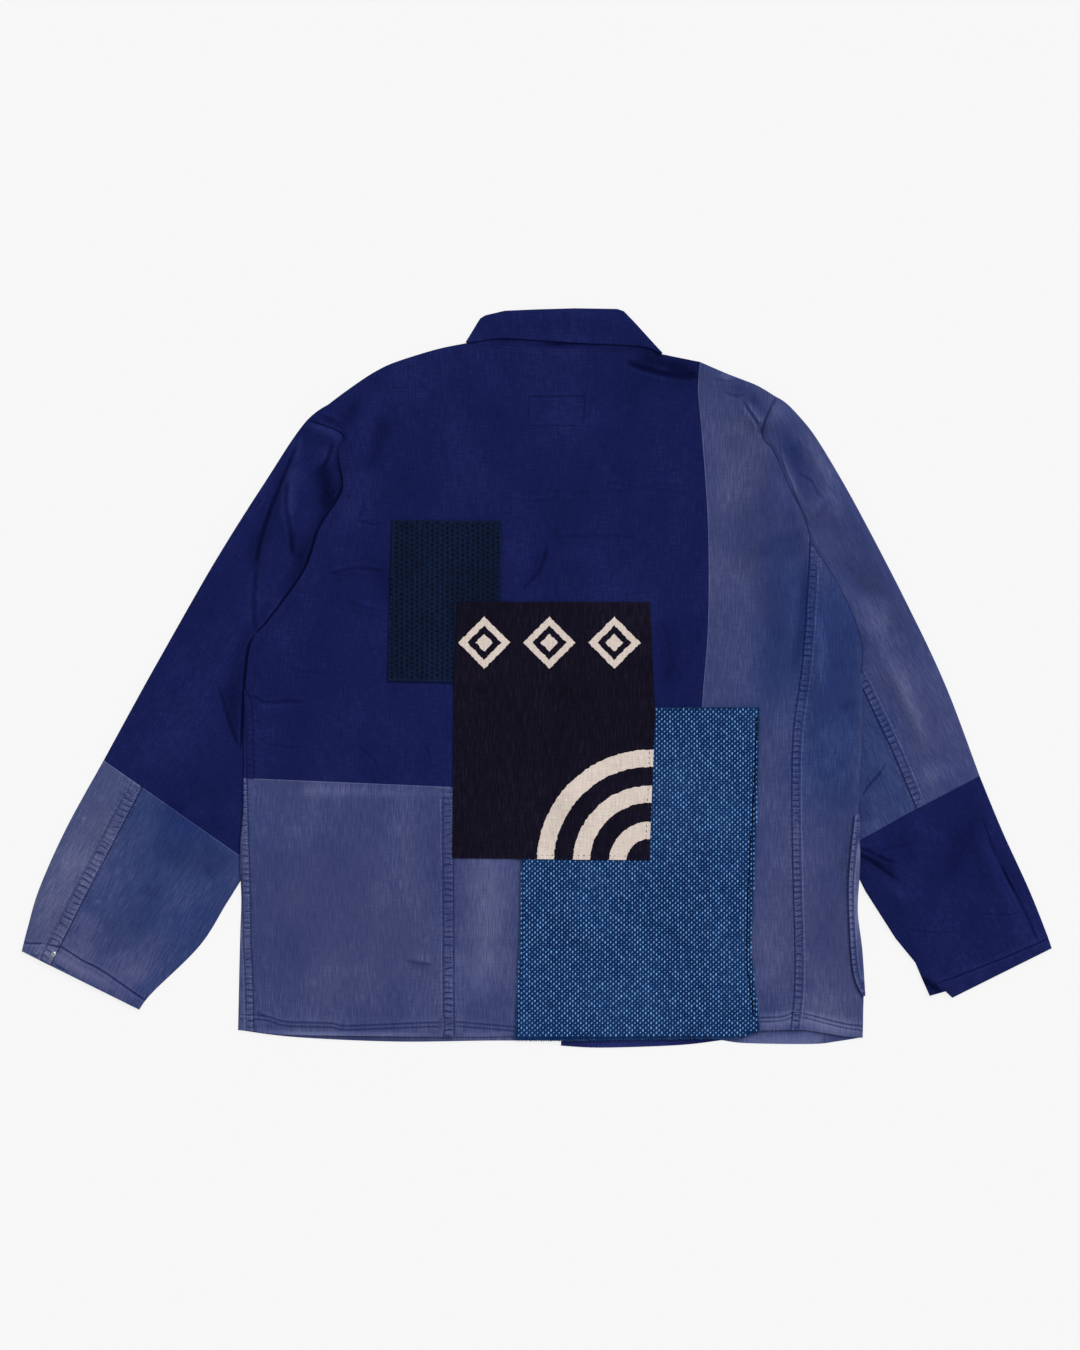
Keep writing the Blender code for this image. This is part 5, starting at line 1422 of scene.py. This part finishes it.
def grow(name, tree, paths, settings):
    # runs a node tree on a set of paths and keeps the result as a plain mesh
    curve = bpy.data.curves.new(name + "_path", "CURVE")
    curve.dimensions = "3D"
    for path in paths:
        spline = curve.splines.new("POLY")
        spline.points.add(len(path) - 1)
        places = np.column_stack([path, np.ones(len(path))])
        spline.points.foreach_set("co", places.astype(np.float32).ravel())
    carrier = bpy.data.objects.new(name + "_path", curve)
    bpy.context.scene.collection.objects.link(carrier)
    modifier = carrier.modifiers.new("nodes", "NODES")
    modifier.node_group = tree
    for item in tree.interface.items_tree:
        if item.in_out == "INPUT" and item.name in settings:
            modifier[item.identifier] = settings[item.name]
    depsgraph = bpy.context.evaluated_depsgraph_get()
    mesh = bpy.data.meshes.new_from_object(carrier.evaluated_get(depsgraph))
    carrier.modifiers.remove(modifier)
    bpy.data.objects.remove(carrier)
    made = bpy.data.objects.new(name, mesh)
    bpy.context.scene.collection.objects.link(made)
    return made


surfaces = {}  # search trees of the pieces that stitches lie on, each made when first needed


def onSurface(name, points, lift=0.0):
    # the points dropped onto the top of a piece, as runs that stay on it
    if name not in surfaces:
        depsgraph = bpy.context.evaluated_depsgraph_get()
        surfaces[name] = BVHTree.FromObject(clothObjects[name], depsgraph)
    runs, run = [], []
    for x, y in points * mm:
        hit = surfaces[name].ray_cast(Vector((x, y, 0.1)), Vector((0, 0, -1)))[0]
        if hit is None:
            if len(run) > 1:
                runs.append(np.array(run))
            run = []
        else:
            run.append((x, y, hit.z + lift * mm))
    return runs + ([np.array(run)] if len(run) > 1 else [])


def beside(name, line, offset):
    # a row at an offset from a line, on whichever side the piece lies
    path = linePoints(line, 2.0)
    shift = acrossLine(path) * offset
    return max(path + shift, path - shift, key=lambda row: insideLoop(row, loops[name, "high"][0]).sum())


stitch = stitchTree()
grown = {}


def sew(name, paths, thread, sizes):
    # grows one kind of stitch along its paths; its first four sizes are millimetres
    settings = {label: value * mm if label in ("Pitch", "Length", "Width", "Height") else value
                for label, value in sizes.items()}
    grown[name] = grow(name, stitch, paths, dict(settings, Thread=threads[thread]))


fadedRows, navyRows = [], []
for band in felledSeams:
    rows = navyRows if clothPieces[band["piece"]]["material"] == "navy" else fadedRows
    for offset in band["rows"]:
        rows += onSurface(band["piece"], beside(band["piece"], band["line"], offset))

navyRows += onSurface("back_navy", beside("back_navy", "armholeLeft", 8.0))
for pieces, _, _, doubled, path in hemLines:
    for name in pieces:
        rows = navyRows if clothPieces[name]["material"] == "navy" else fadedRows
        laid = smoothPath(path, 2.0)
        laid = laid[insideLoop(laid, loops[name, "high"][0])]
        rows += onSurface(name, laid)
        if doubled:
            rows += onSurface(name, laid - np.array([0.0, hemRow["gap"]]))
labelBox = [(-8, 281.5), (47, 281.5), (47, 251.5), (-8, 251.5), (-8, 281.5)]
for pair in zip(labelBox, labelBox[1:]):
    navyRows += onSurface("back_navy", resample(np.array(pair, dtype=float), 2.0))

topStitch = {"Pitch": 2.9, "Length": 2.3, "Width": 0.75, "Height": 0.5, "Uneven": 0.12, "Lean": 0.0,
             "Turn": 0.08, "Seed": 4}
sew("stitches_faded", fadedRows, "slate", topStitch)
sew("stitches_navy", navyRows, "navy", topStitch)

hiddenDepth = 8.0  # stitches further than this under the plain patch are left out


def stitchColumns(name, outline, spacing, inset):
    # columns of running stitches down a patch, every second one dropped by half a stitch,
    # up to the plain patch that covers a corner of it
    loop = loopOf([outline], 3.0, inset)[0][:, ::-1]
    cover = loopOf(["norenPatch"], 3.0, hiddenDepth)[0][:, ::-1]
    reach = inset - 1.0  # the columns run on to the patch's ends
    half = quilting["pitch"] / 2
    columns = []
    for number, x in enumerate(np.arange(loop[:, 1].min() + spacing / 2, loop[:, 1].max(), spacing)):
        cuts = crossings(loop, x)
        low, high = cuts[0] - reach, cuts[-1] + reach
        covered = crossings(cover, x)
        if len(covered) and covered[-1] < high:
            low = covered[-1]
        elif len(covered):
            high = covered[0]
        first = math.ceil(low / quilting["pitch"]) * quilting["pitch"] + (number % 2) * half
        y = np.arange(first, high, half)
        y = y[:len(y) - (len(y) + 1) % 2]
        if len(y) > 2:
            columns += onSurface(name, np.column_stack([np.full(len(y), x), y]), 0.1)
    return columns


blueStitch = {"Pitch": quilting["pitch"], "Length": 2.5, "Width": 1.42, "Height": 1.3, "Uneven": 0.3,
              "Lean": -0.38, "Turn": 0.34, "Seed": 11}
darkStitch = {"Pitch": quilting["pitch"], "Length": 2.5, "Width": 2.5, "Height": 0.7, "Uneven": 0.15,
              "Lean": 0.0, "Turn": 0.2, "Seed": 17}
blueColumns = stitchColumns("patch_blue_sashiko", "bluePatch", quilting["blueColumns"], 2.2)
darkColumns = stitchColumns("patch_dark_sashiko", "darkPatch", quilting["darkColumns"], 1.0)
sew("sashiko_blue", blueColumns, "paleBlue", blueStitch)
sew("sashiko_dark", darkColumns, "midnight", darkStitch)


def patchEdge(name, outline, inset):
    # a path round a patch, inside its edge
    loop = loopOf([outline], 2.0, inset)[0]
    return onSurface(name, np.vstack([loop, loop[:1]]))


whipDark = {"Pitch": 2.6, "Length": 2.0, "Width": 0.9, "Height": 0.8, "Uneven": 0.3, "Lean": 0.5,
            "Turn": 0.25, "Seed": 21}
whipBlue = {"Pitch": 1.9, "Length": 2.8, "Width": 0.8, "Height": 0.8, "Uneven": 0.3, "Lean": 1.1,
            "Turn": 0.7, "Seed": 23}
looseEnds = {"Pitch": 1.1, "Length": 4.2, "Width": 0.38, "Height": 0.35, "Uneven": 0.3, "Lean": 1.57,
             "Turn": 1.1, "Seed": 29}
plainBorder = {"Pitch": 5.2, "Length": 2.4, "Width": 0.6, "Height": 0.5, "Uneven": 0.3, "Lean": 0.0,
               "Turn": 0.2, "Seed": 31}
sew("border_dark", patchEdge("patch_dark_sashiko", "darkPatch", 1.5), "indigo", whipDark)
sew("border_blue", patchEdge("patch_blue_sashiko", "bluePatch", 1.2), "indigo", whipBlue)
sew("fray_blue", patchEdge("patch_blue_sashiko", "bluePatch", 0.2), "lint", looseEnds)
sew("border_noren", patchEdge("patch_noren", "norenPatch", 4.0), "black", plainBorder)

# the blue patch's right edge is turned under, which leaves a groove beside its whip stitches; a row of
# near-black beads paints the shadow in that groove
grooveShadowPath = [(219.5, -40), (218, -90), (215, -140), (211.5, -200), (209.5, -272), (211.5, -300),
              (216.5, -336)]
groove = {"Pitch": 1.3, "Length": 2.2, "Width": 1.2, "Height": 1.2, "Uneven": 0.25, "Lean": 0.0,
          "Turn": 0.2, "Seed": 37}
sew("groove_shadow_blue", onSurface("patch_blue_sashiko", smoothPath(grooveShadowPath, 2.0), 0.5), "midnight", groove)
print("stitching ready:", {key: len(o.data.polygons) for key, o in grown.items()})


# the camera looks straight down; sizes are millimetres, and "longSide" is what its picture takes in
view = {"longSide": 1350.0, "lens": 85.0, "sensor": 36.0, "centre": (3.0, 2.5), "clothHeight": 4.0}
# one broad soft light from above, a white room and a pale floor whose glow keeps shadows faint
light = {"sky": 0.52, "sun": 2.2, "softness": 38.0, "from": (1.1, 1.5, 1.9), "floor": 0.1, "floorGlow": 0.83}

cameraData = bpy.data.cameras.new("camera")
cameraData.lens, cameraData.sensor_width = view["lens"], view["sensor"]
camera = bpy.data.objects.new("camera", cameraData)
distance = view["longSide"] * mm * view["lens"] / view["sensor"]
camera.location = (view["centre"][0] * mm, view["centre"][1] * mm, distance + view["clothHeight"] * mm)
bpy.context.scene.collection.objects.link(camera)
bpy.context.scene.camera = camera
bpy.context.scene.view_settings.view_transform = "Standard"

world = bpy.data.worlds.new("studio")
world.use_nodes = True
world.node_tree.nodes["Background"].inputs["Color"].default_value = (1, 1, 1, 1)
world.node_tree.nodes["Background"].inputs["Strength"].default_value = light["sky"]
bpy.context.scene.world = world

lampData = bpy.data.lights.new("softBox", "SUN")
lampData.energy, lampData.angle = light["sun"], math.radians(light["softness"])
lamp = bpy.data.objects.new("softBox", lampData)
lamp.rotation_mode = "QUATERNION"
lamp.rotation_quaternion = (-Vector(light["from"])).to_track_quat("-Z", "Y")
bpy.context.scene.collection.objects.link(lamp)

floorMesh = bpy.data.meshes.new("floor")
floorCorners = [(-60, -60), (60, -60), (60, 60), (-60, 60)]
floorMesh.from_pydata([(x, y, -0.0002) for x, y in floorCorners], [], [(0, 1, 2, 3)])
floorMaterial, _, floorShader = newMaterial("paperFloor", 0.9, 0.02)
floorShader.inputs["Base Color"].default_value = (light["floor"],) * 3 + (1,)
floorShader.inputs["Emission Color"].default_value = (1, 1, 1, 1)
floorShader.inputs["Emission Strength"].default_value = light["floorGlow"]
floorMesh.materials.append(floorMaterial)
floorObject = bpy.data.objects.new("floor", floorMesh)
bpy.context.scene.collection.objects.link(floorObject)


def capMaterial(name, code, metallic, roughness, scale):
    # a hard, smooth cap, a little uneven from handling
    material, tree, shader = newMaterial(name, roughness, 0.4)
    shader.inputs["Metallic"].default_value = metallic
    place = addNode(tree, "TexCoord").outputs["Object"]
    spots = addNode(tree, "TexNoise", {"Vector": place, "Scale": scale, "Detail": 3.0})
    colour = addNode(tree, "ValToRGB", [spots],
                     [(0.0, linearColour(code, 0.6)), (1.0, linearColour(code, 1.2))])
    tree.links.new(colour.outputs[0], shader.inputs["Base Color"])
    return material


buttonMaterial = capMaterial("brownButton", "#2b2530", 0.0, 0.45, 180.0)
for k in range(buttons["count"]):
    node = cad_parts["button_%d" % (k + 1)]
    node.data.materials.clear()
    node.data.materials.append(buttonMaterial)

rivet = {"radius": 2.9, "height": 1.1, "dimple": 0.25, "dimpleShare": 0.3, "sunk": 0.3, "rings": 7,
         "sides": 24}


def rivetCap():
    # a shallow domed cap with a dimple, turned round its axis, on the cuff's cloth
    low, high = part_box("cuff_rivet")
    x, y = (low[0] + high[0]) / 2 / mm, (low[1] + high[1]) / 2 / mm
    seat = onSurface("sleeve_left_lower_outer", np.array([(x, y), (x + 0.1, y)]))[0][0][2] / mm
    points = [(x, y, seat + rivet["height"] - rivet["dimple"])]
    for ring in range(1, rivet["rings"] + 1):
        share = ring / rivet["rings"]
        height = (rivet["height"] * math.sqrt(1 - share ** 2)
                  - rivet["dimple"] * math.exp(-(share / rivet["dimpleShare"]) ** 2))
        for side in range(rivet["sides"]):
            turn = 2 * math.pi * side / rivet["sides"]
            reach = rivet["radius"] * share
            points.append((x + reach * math.cos(turn), y + reach * math.sin(turn), seat + height))
    points.append((x, y, seat - rivet["sunk"]))
    count, last = rivet["sides"], len(points) - 1
    faces = []
    for side in range(count):
        after = (side + 1) % count
        faces.append((0, 1 + side, 1 + after))
        for ring in range(rivet["rings"] - 1):
            a, b = 1 + ring * count, 1 + (ring + 1) * count
            faces.append((a + side, b + side, b + after, a + after))
        rim = 1 + (rivet["rings"] - 1) * count
        faces.append((last, rim + after, rim + side))
    mesh = bpy.data.meshes.new("rivet_cap")
    mesh.from_pydata((np.array(points) * mm).tolist(), [], faces)
    mesh.shade_smooth()
    mesh.materials.append(capMaterial("nickelCap", "#b4bfc4", 1.0, 0.28, 500.0))
    made = bpy.data.objects.new("rivet_cap", mesh)
    bpy.context.scene.collection.objects.link(made)
    return made


cap = rivetCap()
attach(cap, "root")
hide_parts("cuff_rivet")


def flatCut(name):
    # width across the threads, length along them, and area, of the cloth that the piece was cut from
    angle = math.radians(clothPieces[name].get("grain", 0.0))
    width, length, area = 0.0, 0.0, 0.0
    for side in showing(name):
        x, y = loops[name, side][0].T
        across = x * math.cos(angle) - y * math.sin(angle)
        along = x * math.sin(angle) + y * math.cos(angle)
        width += np.ptp(across)
        length = max(length, np.ptp(along))
        area += abs(np.sum(x * np.roll(y, -1) - np.roll(x, -1) * y)) / 2
    return float(width * mm), float(length * mm), float(area * mm * mm)


for key, made in grown.items():
    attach(made, "root")
for name, made in clothObjects.items():
    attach(made, "root")
    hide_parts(name)
    width, length, area = flatCut(name)
    print(name, "cut", round(width, 3), "x", round(length, 3), "m,", round(area, 4), "m2,",
          sum(len(p.vertices) - 2 for p in made.data.polygons), "triangles")
